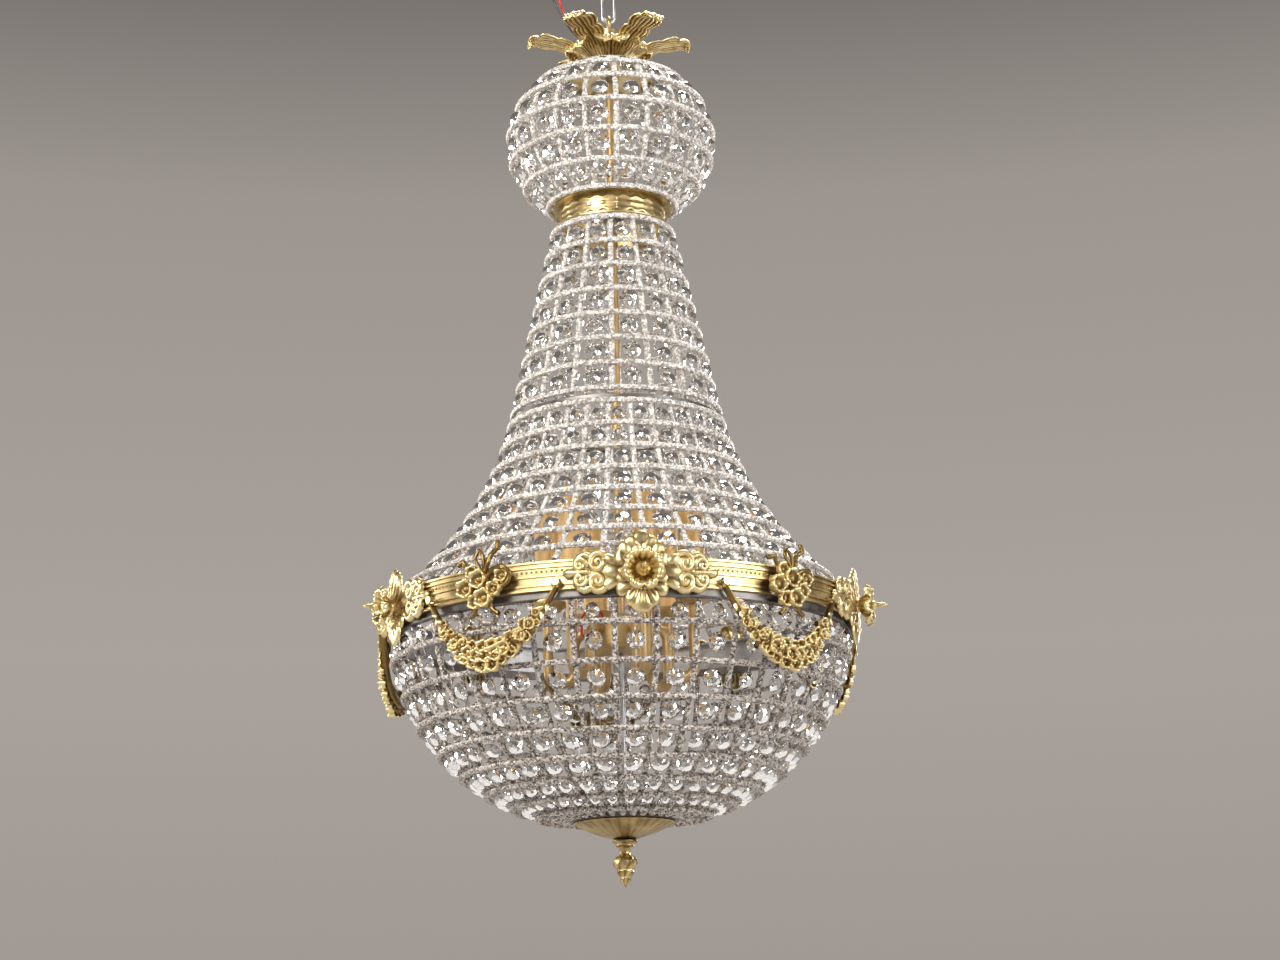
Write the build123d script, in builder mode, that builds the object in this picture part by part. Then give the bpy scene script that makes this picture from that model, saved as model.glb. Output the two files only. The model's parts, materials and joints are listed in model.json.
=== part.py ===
"""Crystal bag chandelier: a hung brass and steel frame dressed with bead ropes and cut crystals.

Millimetres, +Z up, front on -Y.  The origin is the inner top of the top link, where the
ceiling hook bears.  An azimuth is counted from the front (-Y), positive towards +X.
"""

import os
from math import cos, pi, radians, sin, sqrt, tan

from build123d import *

os.makedirs("parts", exist_ok=True)

# ---------------------------------------------------------------- driving dimensions

# clearances
HANG_GAP = 0.3          # between wires that hang on each other
SEAT_GAP = 0.2          # between a rope's end and the plate or hoop that holds it
CROSS_GAP = 0.2         # between a ring rope and the rib ropes behind it
THREAD_GAP = 0.15       # radial, plates and nuts over the stem
SLIP_GAP = 0.1          # radial, a thin part slipped over another
TURN_GAP = 0.05         # radial, the finial's bore over its rod

# hanging links and loop
LINK_WIRE = 4.0
LINK_INNER_WIDTH = 9.0
LINK_INNER_LENGTH = 30.0
EYE_WIRE = 4.0
EYE_INNER_RADIUS = 6.0
LOOP_BODY_RADIUS = 10.0
LOOP_BODY_HEIGHT = 24.0
LOOP_BORE_DEPTH = 18.0
WIREWAY_RADIUS = 8.0
WIREWAY_REACH = 13.0
BUSH_RADIUS = 5.5
BUSH_LENGTH = 5.0
BUSH_PROUD = 2.0

# stem and its hex nuts
STEM_RADIUS = 5.0
STEM_BORE = 3.0
NUT_FLATS = 17.0
NUT_HEIGHT = 6.0

# crown of leaves
CROWN_DROP = 58.0       # eye centre to the crown's floor
CROWN_FLOOR = 2.4
CROWN_CUP_RADIUS = 38.0
CROWN_CUP_HEIGHT = 22.0
CROWN_WALL = 2.0
LEAF_COUNT = 6
LEAF_REACH = 87.0
LEAF_RISE = 47.0
LEAF_HALF_WIDTH = 19.0
LEAF_THICKNESS = 2.6

# bead ropes and crystals
ROPE_RADIUS = 2.3
RING_SETBACK = 5.0      # first and last ring to the ends of the ribs
CRYSTAL_RADIUS = 9.0
CRYSTAL_DEPTH = 9.0
CRYSTAL_GIRDLE = 0.6
CRYSTAL_TABLE = 0.45    # least table radius as a share of the girdle radius
CRYSTAL_SIDES = 8
CRYSTAL_MARGIN = 1.2    # girdle to the rib ropes in a narrow cell
WIRE_RADIUS = 0.45

# ball
BALL_PLATE = 2.0
BALL_PLATE_RADIUS = 48.0
BALL_TOP_RADIUS = 46.0
BALL_RADIUS = 107.0
BALL_BOTTOM_RADIUS = 62.0
BALL_HEIGHT = 149.0
BALL_ROWS = 6
BALL_RIBS = 20
BALL_PHASE = -1.5

# collar between ball and neck
COLLAR_RADIUS = 54.5
COLLAR_WALL = 2.5
COLLAR_HEIGHT = 27.0
COLLAR_FLANGE = 1.5
COLLAR_FLANGE_RADIUS = 63.0
COLLAR_BAND_HEIGHT = 20.0
COLLAR_BAND_WALL = 1.6
COLLAR_SCALLOPS = 24
COLLAR_SPIDER = 3.0
COLLAR_ARM_WIDTH = 12.0
COLLAR_SCREW_RADIUS = 2.0
COLLAR_SCREWS = 3

# neck
NECK_TOP_RADIUS = 60.0
NECK_MIDDLE_RADIUS = 83.5
NECK_BOTTOM_RADIUS = 106.0
NECK_HEIGHT = 208.0
NECK_ROWS = 7
NECK_RIBS = 16
NECK_PHASE = -7.0

# shoulder hoop between neck and flare
SHOULDER_HEIGHT = 3.0
SHOULDER_WIDTH = 9.0

# flare
FLARE_TOP_RADIUS = 107.5
FLARE_MIDDLE_RADIUS = 138.5
FLARE_MIDDLE_DROP = 80.0
FLARE_BOTTOM_RADIUS = 229.0
FLARE_HEIGHT = 189.0
FLARE_ROWS = 7
FLARE_TAPER = -0.18     # the rows widen downwards
FLARE_TAIL = 19.0       # last ring to the main ring
FLARE_RIBS = 32
FLARE_PHASE = -9.0

# main ring and the ornamental band round it
RING_RADIUS = 233.5
RING_WALL = 3.5
RING_HEIGHT = 28.0
RING_FLANGE = 2.0
RING_FLANGE_WIDTH = 13.0
BAND_WALL = 2.2
BAND_HEIGHT = 29.0
FILLET_HEIGHT = 3.0
FILLET_PROUD = 1.6
BAND_SCREW_RADIUS = 1.8
BAND_SCREW_HEAD = 3.4
BAND_SCREW_LENGTH = 10.0

# plaques and their rosettes
ORNAMENTS = 5
PLAQUE_WALL = 3.0
PLAQUE_HALF_WIDTH = 72.0
PLAQUE_SPINE = 30.0
CARTOUCHE_HALF_WIDTH = 24.0
CARTOUCHE_HALF_HEIGHT = 38.0
SCROLL_RADIUS = 12.5
ROSETTE_REACH = 273.0
ROSETTE_RADIUS = 21.0
ROSETTE_LOBES = 7
ROSETTE_FOOT = 8.0
SPIKE_RADIUS = 4.0
SPIKE_TIP = 0.8

# ribbon bows
BOW_AZIMUTH = 36.0
BOW_LOOP = 11.5
BOW_RIBBON = 3.6
BOW_KNOT = 8.0
BOW_SPREAD = 19.0
BOW_TAIL = 36.0

# garlands and their pins
GARLAND_HALF_ANGLE = 17.0
GARLAND_DROP = 64.0
GARLAND_STEM = 2.2
GARLAND_BERRY = 9.5
GARLAND_BEADS = 15
GARLAND_PINCH = 0.62    # waist of a bead as a share of its girth
GARLAND_LEAN = 4.0     # how far the middle leans in towards the bowl
EYELET_HOLE = 3.2
EYELET_WALL = 2.2
EYELET_THICKNESS = 1.6
EYELET_GAP = 0.4          # eyelet over its pin, so that the garland can swing out
PIN_RADIUS = 1.5
PIN_HEAD = 3.6
PIN_REACH = 6.0
PIN_HEIGHT = 7.0        # pins above the band's lower edge

# bowl
BOWL_RIM_HEIGHT = 8.0
BOWL_RIM_WIDTH = 6.5
BOWL_TOP_RADIUS = 230.5
BOWL_MIDDLE_RADIUS = 188.0
BOWL_MIDDLE_DROP = 105.0
BOWL_BOTTOM_RADIUS = 55.0
BOWL_HEIGHT = 180.0
BOWL_ROWS = 7           # equal rows, under the short first one
BOWL_FIRST_ROW = 21.0
BOWL_TAPER = 0.28
BOWL_TAIL = 31.0        # last ring to the bottom plate
BOWL_RIBS = 36
BOWL_PHASE = -6.4
BOTTOM_PLATE = 5.0

# suspension rods from the stem to the main ring
ROD_COUNT = 3
ROD_AZIMUTH = 45.0
ROD_RADIUS = 2.5
ROD_HUB_HEIGHT = 154.0  # above the main ring's flange
ROD_HUB_RADIUS = 18.0
ROD_HUB_THICKNESS = 12.0
ROD_FOOT = 20.0
ROD_BEND = 8.0

# lamp cluster
LAMP_COUNT = 6
LAMP_PHASE = 15.0
LAMP_CIRCLE = 75.0
HUB_RADIUS = 31.0
HUB_HEIGHT = 34.0
HUB_DROP = 13.0         # hub top below the main ring's flange
ARM_RADIUS = 5.5
ARM_DIP = 50.0          # lowest point of an arm below its hub end
ARM_KNEE = 48.0
ARM_BEND = 12.0
CUP_RADIUS = 19.0
CUP_HEIGHT = 10.0
CUP_FLOOR = 4.0
CUP_RISE = 24.0         # cup floor above the arm's hub end
HOLDER_RADIUS = 11.0
HOLDER_BORE = 7.0
HOLDER_HEIGHT = 60.0
HOLDER_BORE_DEPTH = 26.0
SLEEVE_RADIUS = 13.2
SLEEVE_WALL = 1.1
SLEEVE_HEIGHT = 98.0
HUB_WIRES = 3
HUB_WIRE_RADIUS = 1.3
HUB_WIRE_BOW = 9.0
HUB_WIRE_OFFSET = 18.0

# bottom rod, cap and finial
BOTTOM_ROD_RADIUS = 3.0
CAP_RADIUS = 50.0
CAP_LIP = 2.0
CAP_DEPTH = 17.0
CAP_FOOT_RADIUS = 12.0
CAP_WALL = 1.6
FINIAL_LENGTH = 47.0
FINIAL_DISC = 12.5
FINIAL_WAIST = 5.2
FINIAL_BULB = 13.0
FINIAL_BORE_DEPTH = 16.0

# supply leads
LEAD_RADIUS = 1.4
BLOCK_WIDTH = 17.0
BLOCK_DEPTH = 13.0
BLOCK_HEIGHT = 15.0
BLOCK_CORNER = 2.0
TERMINAL_TOWER = 3.0

# ---------------------------------------------------------------- helpers


def save(block, label):
    """Label a finished piece and write it under its own name."""
    block.part.label = label
    export_step(block.part, f"parts/{label}.step", write_pcurves=False)


CROSS_OFFSET = ROPE_RADIUS + CROSS_GAP / 2


def spot(radius, azimuth, z):
    """The point at an azimuth from the front."""
    angle = radians(azimuth)
    return Vector(radius * sin(angle), -radius * cos(angle), z)


def radial_plane(radius, azimuth, z):
    """A plane that faces outward at an azimuth: local x runs along the ring, local y up."""
    angle = radians(azimuth)
    return Plane(spot(radius, azimuth, z), x_dir=(cos(angle), sin(angle), 0),
                 z_dir=(sin(angle), -cos(angle), 0))


def turned(shape, azimuth):
    """A copy of a piece made at the +X side, carried round to an azimuth."""
    return shape.rotate(Axis.Z, azimuth - 90)


def outward(arc, at):
    """Unit normal of a profile in the XZ plane that runs downwards, away from the axis."""
    tangent = arc.tangent_at(at)
    return Vector(-tangent.Z, 0, tangent.X)


def rib_point(arc, at):
    """A point on the middle line of the rib ropes, which run just inside a profile."""
    return arc.position_at(at) - outward(arc, at) * CROSS_OFFSET


def rib_top(arc):
    """The highest point of the ribs' upper ends."""
    return rib_point(arc, 0).Z + ROPE_RADIUS * abs(arc.tangent_at(0).X)


def rib_foot(arc):
    """The lowest point of the ribs' lower ends."""
    return rib_point(arc, 1).Z - ROPE_RADIUS * abs(arc.tangent_at(1).X)


def profile(seat, top_radius, middle_radius, middle_drop, bottom_radius, height):
    """A cage's outline in the XZ plane, hung so that its ribs' upper ends just clear a seat."""
    edge = Edge.make_three_point_arc((top_radius, 0, 0), (middle_radius, 0, -middle_drop),
                                     (bottom_radius, 0, -height))
    return edge.moved(Location((0, 0, seat - SEAT_GAP - rib_top(edge))))


def row_edges(first, length, rows, taper):
    """Distances along a profile of rows whose pitch changes steadily by a share of its mean."""
    weights = [1 + taper * (0.5 - row / (rows - 1)) for row in range(rows)]
    edges = [first]
    for weight in weights:
        edges.append(edges[-1] + (length - first) * weight / sum(weights))
    return edges


def rope_rings(arc, distances, label):
    """Ring ropes round a profile, tied on the outside of the ribs."""
    with BuildPart() as rings:
        for distance in distances:
            at = distance / arc.length
            centre = arc.position_at(at) + outward(arc, at) * CROSS_OFFSET
            with Locations((0, 0, centre.Z)):
                Torus(centre.X, ROPE_RADIUS)
    save(rings, label)


def rope_ribs(arc, count, phase, label):
    """Rib ropes along a profile, just inside its ring ropes."""
    with BuildPart() as rib:
        with BuildLine() as path:
            ThreePointArc(*[rib_point(arc, at) for at in (0, 0.5, 1)])
        with BuildSketch(Plane(path.line @ 0, z_dir=path.line % 0)):
            Circle(ROPE_RADIUS)
        sweep(path=path.line)
    with BuildPart() as ribs:
        for number in range(count):
            add(turned(rib.part, phase + number * 360 / count), clean=False)
    save(ribs, label)


def crystal(radius, reach):
    """One cut crystal on its wire, in the XY plane with the wire along Y."""
    slope = min((CRYSTAL_DEPTH - CRYSTAL_GIRDLE) / 2, radius * (1 - CRYSTAL_TABLE))
    with BuildPart() as drop:
        with BuildSketch(Plane.XY.offset(-slope - CRYSTAL_GIRDLE / 2)):
            RegularPolygon(radius, CRYSTAL_SIDES)
        extrude(amount=2 * slope + CRYSTAL_GIRDLE)
        rims = drop.edges().group_by(Axis.Z)
        chamfer(rims[0] + rims[-1], slope)
        with Locations(Plane.XZ):
            Cylinder(WIRE_RADIUS, 2 * reach)
    return drop.part


def wire_reach(arc, at, edge):
    """How far a crystal's wire can run towards the ring rope at a distance along the profile."""
    beside = edge / arc.length
    ring = arc.position_at(beside) + outward(arc, beside) * CROSS_OFFSET
    away = ring - arc.position_at(at)
    along = abs(away.dot(arc.tangent_at(at)))
    depth = away.dot(outward(arc, at)) - WIRE_RADIUS
    return along - sqrt(max(0, ROPE_RADIUS ** 2 - depth ** 2)) - CROSS_GAP


def crystal_rows(arc, edges, count, phase, label):
    """Rows of crystals, one in the middle of each cell between two rings and two ribs."""
    drops = []
    for upper, lower in zip(edges, edges[1:]):
        at = (upper + lower) / 2 / arc.length
        centre = arc.position_at(at)
        cell = 2 * pi * centre.X / count
        reach = min(wire_reach(arc, at, upper), wire_reach(arc, at, lower))
        radius = min(CRYSTAL_RADIUS, cell / 2 - ROPE_RADIUS - CRYSTAL_MARGIN, reach - CRYSTAL_MARGIN)
        place = Plane(centre, x_dir=(0, 1, 0), z_dir=outward(arc, at))
        drop = place.location * crystal(radius, reach)
        drops += [turned(drop, phase + (number + 0.5) * 360 / count) for number in range(count)]
    with BuildPart() as rows:
        add(drops, clean=False)
    save(rows, label)


def cord_tube(points, radius, label):
    """A lead as straight runs joined by the largest arcs that its runs allow."""
    route = [Vector(*point) for point in points]
    radii = []
    for before, corner, after in zip(route, route[1:], route[2:]):
        turn = (corner - before).get_angle(after - corner)
        run = min((corner - before).length, (after - corner).length)
        radii.append(0.45 * run / tan(radians(turn / 2)))
    with BuildPart() as cord:
        with BuildLine() as path:
            FilletPolyline(*route, radius=radii)
        with BuildSketch(Plane(path.line @ 0, z_dir=path.line % 0)):
            Circle(radius)
        sweep(path=path.line)
    length = path.wire().length
    expected = pi * radius ** 2 * length
    print(label, "radii", [round(value, 1) for value in radii], "length", round(length, 1),
          "volume", round(cord.part.volume, 1), "of", round(expected, 1))
    return cord.part


def chain_link(plane, label):
    """A stadium-shaped wire link in a plane whose origin is the middle of the link."""
    bend = LINK_INNER_WIDTH / 2 + LINK_R
    straight = LINK_INNER_LENGTH / 2 - LINK_INNER_WIDTH / 2
    with BuildPart() as link:
        with BuildLine(plane) as path:
            Line((bend, -straight), (bend, straight))
            ThreePointArc((bend, straight), (0, straight + bend), (-bend, straight))
            Line((-bend, straight), (-bend, -straight))
            ThreePointArc((-bend, -straight), (0, -straight - bend), (bend, -straight))
        with BuildSketch(Plane(path.line @ 0, z_dir=path.line % 0)):
            Circle(LINK_R)
        sweep(path=path.line)
    save(link, label)


# ---------------------------------------------------------------- heights, from the top down

LINK_R = LINK_WIRE / 2
Z_LINK_CONTACT = -LINK_INNER_LENGTH
Z_BOTTOM_LINK_TOP = Z_LINK_CONTACT + HANG_GAP
Z_EYE_CONTACT = Z_BOTTOM_LINK_TOP - LINK_INNER_LENGTH
Z_EYE_INNER_TOP = Z_EYE_CONTACT + HANG_GAP
Z_EYE = Z_EYE_INNER_TOP - EYE_INNER_RADIUS
Z_LOOP_TOP = Z_EYE - EYE_INNER_RADIUS - EYE_WIRE / 2
Z_LOOP_BOTTOM = Z_LOOP_TOP - LOOP_BODY_HEIGHT
Z_STEM_TOP = Z_LOOP_BOTTOM + LOOP_BORE_DEPTH - SEAT_GAP
Z_WIREWAY = Z_LOOP_TOP - LOOP_BODY_HEIGHT / 2
Z_CROWN_FLOOR = Z_EYE - CROWN_DROP
Z_CROWN_BASE = Z_CROWN_FLOOR - CROWN_FLOOR
Z_BALL_PLATE = Z_CROWN_BASE - BALL_PLATE

ball_line = profile(Z_BALL_PLATE, BALL_TOP_RADIUS, BALL_RADIUS, BALL_HEIGHT / 2, BALL_BOTTOM_RADIUS,
                    BALL_HEIGHT)
Z_COLLAR_TOP = rib_foot(ball_line) - SEAT_GAP
Z_COLLAR_BOTTOM = Z_COLLAR_TOP - COLLAR_HEIGHT
Z_COLLAR_MIDDLE = (Z_COLLAR_TOP + Z_COLLAR_BOTTOM) / 2

neck_line = profile(Z_COLLAR_BOTTOM, NECK_TOP_RADIUS, NECK_MIDDLE_RADIUS, NECK_HEIGHT / 2,
                    NECK_BOTTOM_RADIUS, NECK_HEIGHT)
Z_SHOULDER_TOP = rib_foot(neck_line) - SEAT_GAP
Z_SHOULDER_BOTTOM = Z_SHOULDER_TOP - SHOULDER_HEIGHT

flare_line = profile(Z_SHOULDER_BOTTOM, FLARE_TOP_RADIUS, FLARE_MIDDLE_RADIUS, FLARE_MIDDLE_DROP,
                     FLARE_BOTTOM_RADIUS, FLARE_HEIGHT)
Z_RING_TOP = rib_foot(flare_line) - SEAT_GAP
Z_RING_BOTTOM = Z_RING_TOP - RING_HEIGHT
Z_BAND_MIDDLE = Z_RING_TOP - RING_HEIGHT / 2
Z_BAND_TOP = Z_BAND_MIDDLE + BAND_HEIGHT / 2
Z_BAND_BOTTOM = Z_BAND_MIDDLE - BAND_HEIGHT / 2
Z_BOWL_RIM = Z_RING_BOTTOM - BOWL_RIM_HEIGHT

bowl_line = profile(Z_BOWL_RIM, BOWL_TOP_RADIUS, BOWL_MIDDLE_RADIUS, BOWL_MIDDLE_DROP,
                    BOWL_BOTTOM_RADIUS, BOWL_HEIGHT)

# ---------------------------------------------------------------- links, loop and stem

top_link = chain_link(Plane(origin=(0, 0, -LINK_INNER_LENGTH / 2), x_dir=(0, 1, 0), z_dir=(1, 0, 0)),
                      "top_link")
bottom_link = chain_link(Plane(origin=(0, 0, Z_BOTTOM_LINK_TOP - LINK_INNER_LENGTH / 2),
                               x_dir=(1, 0, 0), z_dir=(0, -1, 0)), "bottom_link")

WIREWAY = Plane(origin=(0, 0, Z_WIREWAY), x_dir=(0, 1, 0), z_dir=(-1, 0, 0))

with BuildPart() as loop_nut:
    with Locations(Location((0, 0, Z_EYE), (0, 90, 0))):
        Torus(EYE_INNER_RADIUS + EYE_WIRE / 2, EYE_WIRE / 2)
    with BuildSketch(Plane.XY.offset(Z_LOOP_BOTTOM)):
        Circle(LOOP_BODY_RADIUS)
    extrude(amount=LOOP_BODY_HEIGHT)
    fillet(loop_nut.edges().filter_by(GeomType.CIRCLE).group_by(Axis.Z)[0], EYE_WIRE / 4)
    with BuildSketch(WIREWAY):
        Circle(WIREWAY_RADIUS)
    extrude(amount=WIREWAY_REACH)
    with BuildSketch(WIREWAY.offset(WIREWAY_REACH - BUSH_LENGTH + BUSH_PROUD)):
        Circle(BUSH_RADIUS + TURN_GAP)
    extrude(amount=BUSH_LENGTH, mode=Mode.SUBTRACT)
    with BuildSketch(Plane.XY.offset(Z_LOOP_BOTTOM)):
        Circle(STEM_RADIUS + THREAD_GAP)
    extrude(amount=LOOP_BORE_DEPTH, mode=Mode.SUBTRACT)
save(loop_nut, "loop_nut")

with BuildPart() as lead_bush:
    with BuildSketch(WIREWAY.offset(WIREWAY_REACH - BUSH_LENGTH + BUSH_PROUD)):
        Circle(BUSH_RADIUS)
    extrude(amount=BUSH_LENGTH)
    fillet(lead_bush.edges().sort_by(Axis.X)[0], BUSH_PROUD / 4)
save(lead_bush, "lead_bush")

Z_HUB_TOP = Z_RING_TOP - HUB_DROP
Z_HUB_BOTTOM = Z_HUB_TOP - HUB_HEIGHT
Z_STEM_BOTTOM = Z_HUB_TOP - HUB_HEIGHT / 2

with BuildPart() as stem_tube:
    with BuildSketch(Plane.XY.offset(Z_STEM_BOTTOM)):
        Circle(STEM_RADIUS)
        Circle(STEM_BORE, mode=Mode.SUBTRACT)
    extrude(amount=Z_STEM_TOP - Z_STEM_BOTTOM)
save(stem_tube, "stem_tube")

Z_ROD_HUB = Z_RING_TOP + ROD_HUB_HEIGHT
Z_COLLAR_SPIDER = Z_COLLAR_MIDDLE - COLLAR_SPIDER / 2
NUT_SEATS = [
    Z_CROWN_FLOOR,
    Z_BALL_PLATE - NUT_HEIGHT,
    Z_COLLAR_SPIDER + COLLAR_SPIDER,
    Z_COLLAR_SPIDER - NUT_HEIGHT,
    Z_ROD_HUB + ROD_HUB_THICKNESS / 2,
    Z_ROD_HUB - ROD_HUB_THICKNESS / 2 - NUT_HEIGHT,
    Z_HUB_TOP,
]

with BuildPart() as stem_nuts:
    for seat in NUT_SEATS:
        with BuildSketch(Plane.XY.offset(seat)):
            RegularPolygon(NUT_FLATS / 2, 6, major_radius=False)
            Circle(STEM_RADIUS + THREAD_GAP, mode=Mode.SUBTRACT)
        extrude(amount=NUT_HEIGHT)
save(stem_nuts, "stem_nuts")

# ---------------------------------------------------------------- crown

Z_CUP_RIM = Z_CROWN_FLOOR + CROWN_CUP_HEIGHT
LEAF_ROOT = CROWN_CUP_RADIUS - CROWN_WALL
Z_LEAF_ROOT = Z_CROWN_FLOOR + CROWN_CUP_HEIGHT * 0.3
Z_LEAF_TIP = Z_CROWN_FLOOR + LEAF_RISE

with BuildPart() as crown_leaf:
    with BuildSketch(Plane.XZ):
        with BuildLine():
            under = ThreePointArc((LEAF_ROOT, Z_LEAF_ROOT),
                                  (LEAF_REACH * 0.66, Z_LEAF_TIP - LEAF_RISE * 0.3),
                                  (LEAF_REACH, Z_LEAF_TIP - LEAF_THICKNESS))
            over = ThreePointArc((LEAF_ROOT, Z_LEAF_ROOT + LEAF_THICKNESS),
                                 (LEAF_REACH * 0.64, Z_LEAF_TIP - LEAF_RISE * 0.3 + LEAF_THICKNESS),
                                 (LEAF_REACH, Z_LEAF_TIP))
            Line(under @ 0, over @ 0)
            Line(under @ 1, over @ 1)
        make_face()
    extrude(amount=LEAF_HALF_WIDTH, both=True)
    with BuildSketch(Plane.XY.offset(Z_LEAF_ROOT - LEAF_THICKNESS)) as leaf_outline:
        LOBE = LEAF_HALF_WIDTH * 0.42
        with Locations((LEAF_ROOT + LOBE, 0)):
            Circle(LEAF_HALF_WIDTH * 0.75)
        for share, side in ((0.30, 0.56), (0.55, 0.50), (0.78, 0.30)):
            middle = LEAF_ROOT + (LEAF_REACH - LEAF_ROOT) * share
            with Locations((middle, LEAF_HALF_WIDTH * side), (middle, -LEAF_HALF_WIDTH * side)):
                Circle(LOBE * (1.25 - share / 2))
        with Locations((LEAF_REACH - LOBE * 1.3, 0)):
            Ellipse(LOBE * 1.3, LOBE * 0.6)
        with Locations(((LEAF_ROOT + LEAF_REACH) / 2, 0)):
            Rectangle((LEAF_REACH - LEAF_ROOT) * 0.8, LEAF_HALF_WIDTH)
    extrude(amount=LEAF_RISE + 2 * LEAF_THICKNESS, mode=Mode.INTERSECT)

with BuildPart() as crown:
    with BuildSketch(Plane.XZ):
        with BuildLine():
            outer = ThreePointArc((CROWN_CUP_RADIUS - CROWN_WALL, Z_CROWN_BASE),
                                  (CROWN_CUP_RADIUS * 1.01, Z_CROWN_FLOOR + CROWN_CUP_HEIGHT * 0.4),
                                  (CROWN_CUP_RADIUS, Z_CUP_RIM))
            inner = ThreePointArc((CROWN_CUP_RADIUS - 2 * CROWN_WALL, Z_CROWN_FLOOR),
                                  (CROWN_CUP_RADIUS * 1.01 - CROWN_WALL,
                                   Z_CROWN_FLOOR + CROWN_CUP_HEIGHT * 0.4),
                                  (CROWN_CUP_RADIUS - CROWN_WALL, Z_CUP_RIM))
            Polyline(inner @ 0, (STEM_RADIUS + THREAD_GAP, Z_CROWN_FLOOR),
                     (STEM_RADIUS + THREAD_GAP, Z_CROWN_BASE), outer @ 0)
            Line(outer @ 1, inner @ 1)
        make_face()
    revolve(axis=Axis.Z)
    for number in range(LEAF_COUNT):
        add(turned(crown_leaf.part, 30 + number * 360 / LEAF_COUNT))
save(crown, "crown")

# ---------------------------------------------------------------- ball

with BuildPart() as ball_top_plate:
    with BuildSketch(Plane.XY.offset(Z_BALL_PLATE)):
        Circle(BALL_PLATE_RADIUS)
        Circle(STEM_RADIUS + THREAD_GAP, mode=Mode.SUBTRACT)
    extrude(amount=BALL_PLATE)
    fillet(ball_top_plate.edges().filter_by(GeomType.CIRCLE).sort_by(SortBy.RADIUS)[-1], BALL_PLATE / 4)
save(ball_top_plate, "ball_top_plate")

ball_edges = row_edges(RING_SETBACK, ball_line.length - RING_SETBACK, BALL_ROWS, 0)
rope_rings(ball_line, ball_edges, "ball_rings")
rope_ribs(ball_line, BALL_RIBS, BALL_PHASE, "ball_ribs")
crystal_rows(ball_line, ball_edges, BALL_RIBS, BALL_PHASE, "ball_crystals")

# ---------------------------------------------------------------- collar

with BuildPart() as collar_sleeve:
    with BuildSketch(Plane.XZ):
        with BuildLine():
            Polyline((COLLAR_RADIUS - COLLAR_WALL, Z_COLLAR_TOP),
                     (COLLAR_FLANGE_RADIUS, Z_COLLAR_TOP),
                     (COLLAR_FLANGE_RADIUS, Z_COLLAR_TOP - COLLAR_FLANGE),
                     (COLLAR_RADIUS, Z_COLLAR_TOP - COLLAR_FLANGE),
                     (COLLAR_RADIUS, Z_COLLAR_BOTTOM + COLLAR_FLANGE),
                     (COLLAR_FLANGE_RADIUS, Z_COLLAR_BOTTOM + COLLAR_FLANGE),
                     (COLLAR_FLANGE_RADIUS, Z_COLLAR_BOTTOM),
                     (COLLAR_RADIUS - COLLAR_WALL, Z_COLLAR_BOTTOM), close=True)
        make_face()
    revolve(axis=Axis.Z)
save(collar_sleeve, "collar_sleeve")

with BuildPart() as collar_spider:
    with BuildSketch(Plane.XY.offset(Z_COLLAR_SPIDER)):
        Circle(COLLAR_ARM_WIDTH)
        for number in range(COLLAR_SCREWS):
            with Locations(Location((0, 0, 0), (0, 0, number * 360 / COLLAR_SCREWS))):
                Rectangle(COLLAR_RADIUS - COLLAR_WALL / 2, COLLAR_ARM_WIDTH,
                          align=(Align.MIN, Align.CENTER))
        Circle(COLLAR_RADIUS - COLLAR_WALL - SLIP_GAP, mode=Mode.INTERSECT)
        Circle(STEM_RADIUS + THREAD_GAP, mode=Mode.SUBTRACT)
    extrude(amount=COLLAR_SPIDER)
save(collar_spider, "collar_spider")

BAND_INNER = COLLAR_RADIUS + SLIP_GAP
SCALLOP_RADIUS = pi * BAND_INNER / COLLAR_SCALLOPS * 0.8

with BuildPart() as collar_band:
    with BuildSketch(Plane.XY.offset(Z_COLLAR_MIDDLE - COLLAR_BAND_HEIGHT / 2)):
        Circle(BAND_INNER + COLLAR_BAND_WALL)
        Circle(BAND_INNER, mode=Mode.SUBTRACT)
    extrude(amount=COLLAR_BAND_HEIGHT)
    for number in range(COLLAR_SCALLOPS):
        for side in (-1, 1):
            edge = Z_COLLAR_MIDDLE + side * (COLLAR_BAND_HEIGHT / 2 + SCALLOP_RADIUS * 0.72)
            with BuildSketch(radial_plane(BAND_INNER - COLLAR_BAND_WALL,
                                          number * 360 / COLLAR_SCALLOPS, edge)):
                Circle(SCALLOP_RADIUS)
            extrude(amount=COLLAR_BAND_WALL * 3, mode=Mode.SUBTRACT)
    for number in range(COLLAR_SCREWS):
        with BuildSketch(radial_plane(BAND_INNER - COLLAR_BAND_WALL,
                                      90 + number * 360 / COLLAR_SCREWS, Z_COLLAR_MIDDLE)):
            Circle(COLLAR_SCREW_RADIUS * 0.6)
        extrude(amount=COLLAR_BAND_WALL * 3, mode=Mode.SUBTRACT)
save(collar_band, "collar_band")

with BuildPart() as collar_screws:
    for number in range(COLLAR_SCREWS):
        seat = radial_plane(BAND_INNER + COLLAR_BAND_WALL, 90 + number * 360 / COLLAR_SCREWS,
                            Z_COLLAR_MIDDLE)
        with BuildSketch(seat):
            Circle(COLLAR_SCREW_RADIUS)
        extrude(amount=COLLAR_SCREW_RADIUS * 0.7)
        with BuildSketch(seat):
            Circle(COLLAR_SCREW_RADIUS * 0.6 - TURN_GAP)
        extrude(amount=-COLLAR_BAND_WALL)
save(collar_screws, "collar_screws")

# ---------------------------------------------------------------- neck, shoulder and flare

neck_edges = row_edges(RING_SETBACK, neck_line.length - RING_SETBACK, NECK_ROWS, 0)
rope_rings(neck_line, neck_edges, "neck_rings")
rope_ribs(neck_line, NECK_RIBS, NECK_PHASE, "neck_ribs")
crystal_rows(neck_line, neck_edges, NECK_RIBS, NECK_PHASE, "neck_crystals")

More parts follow.
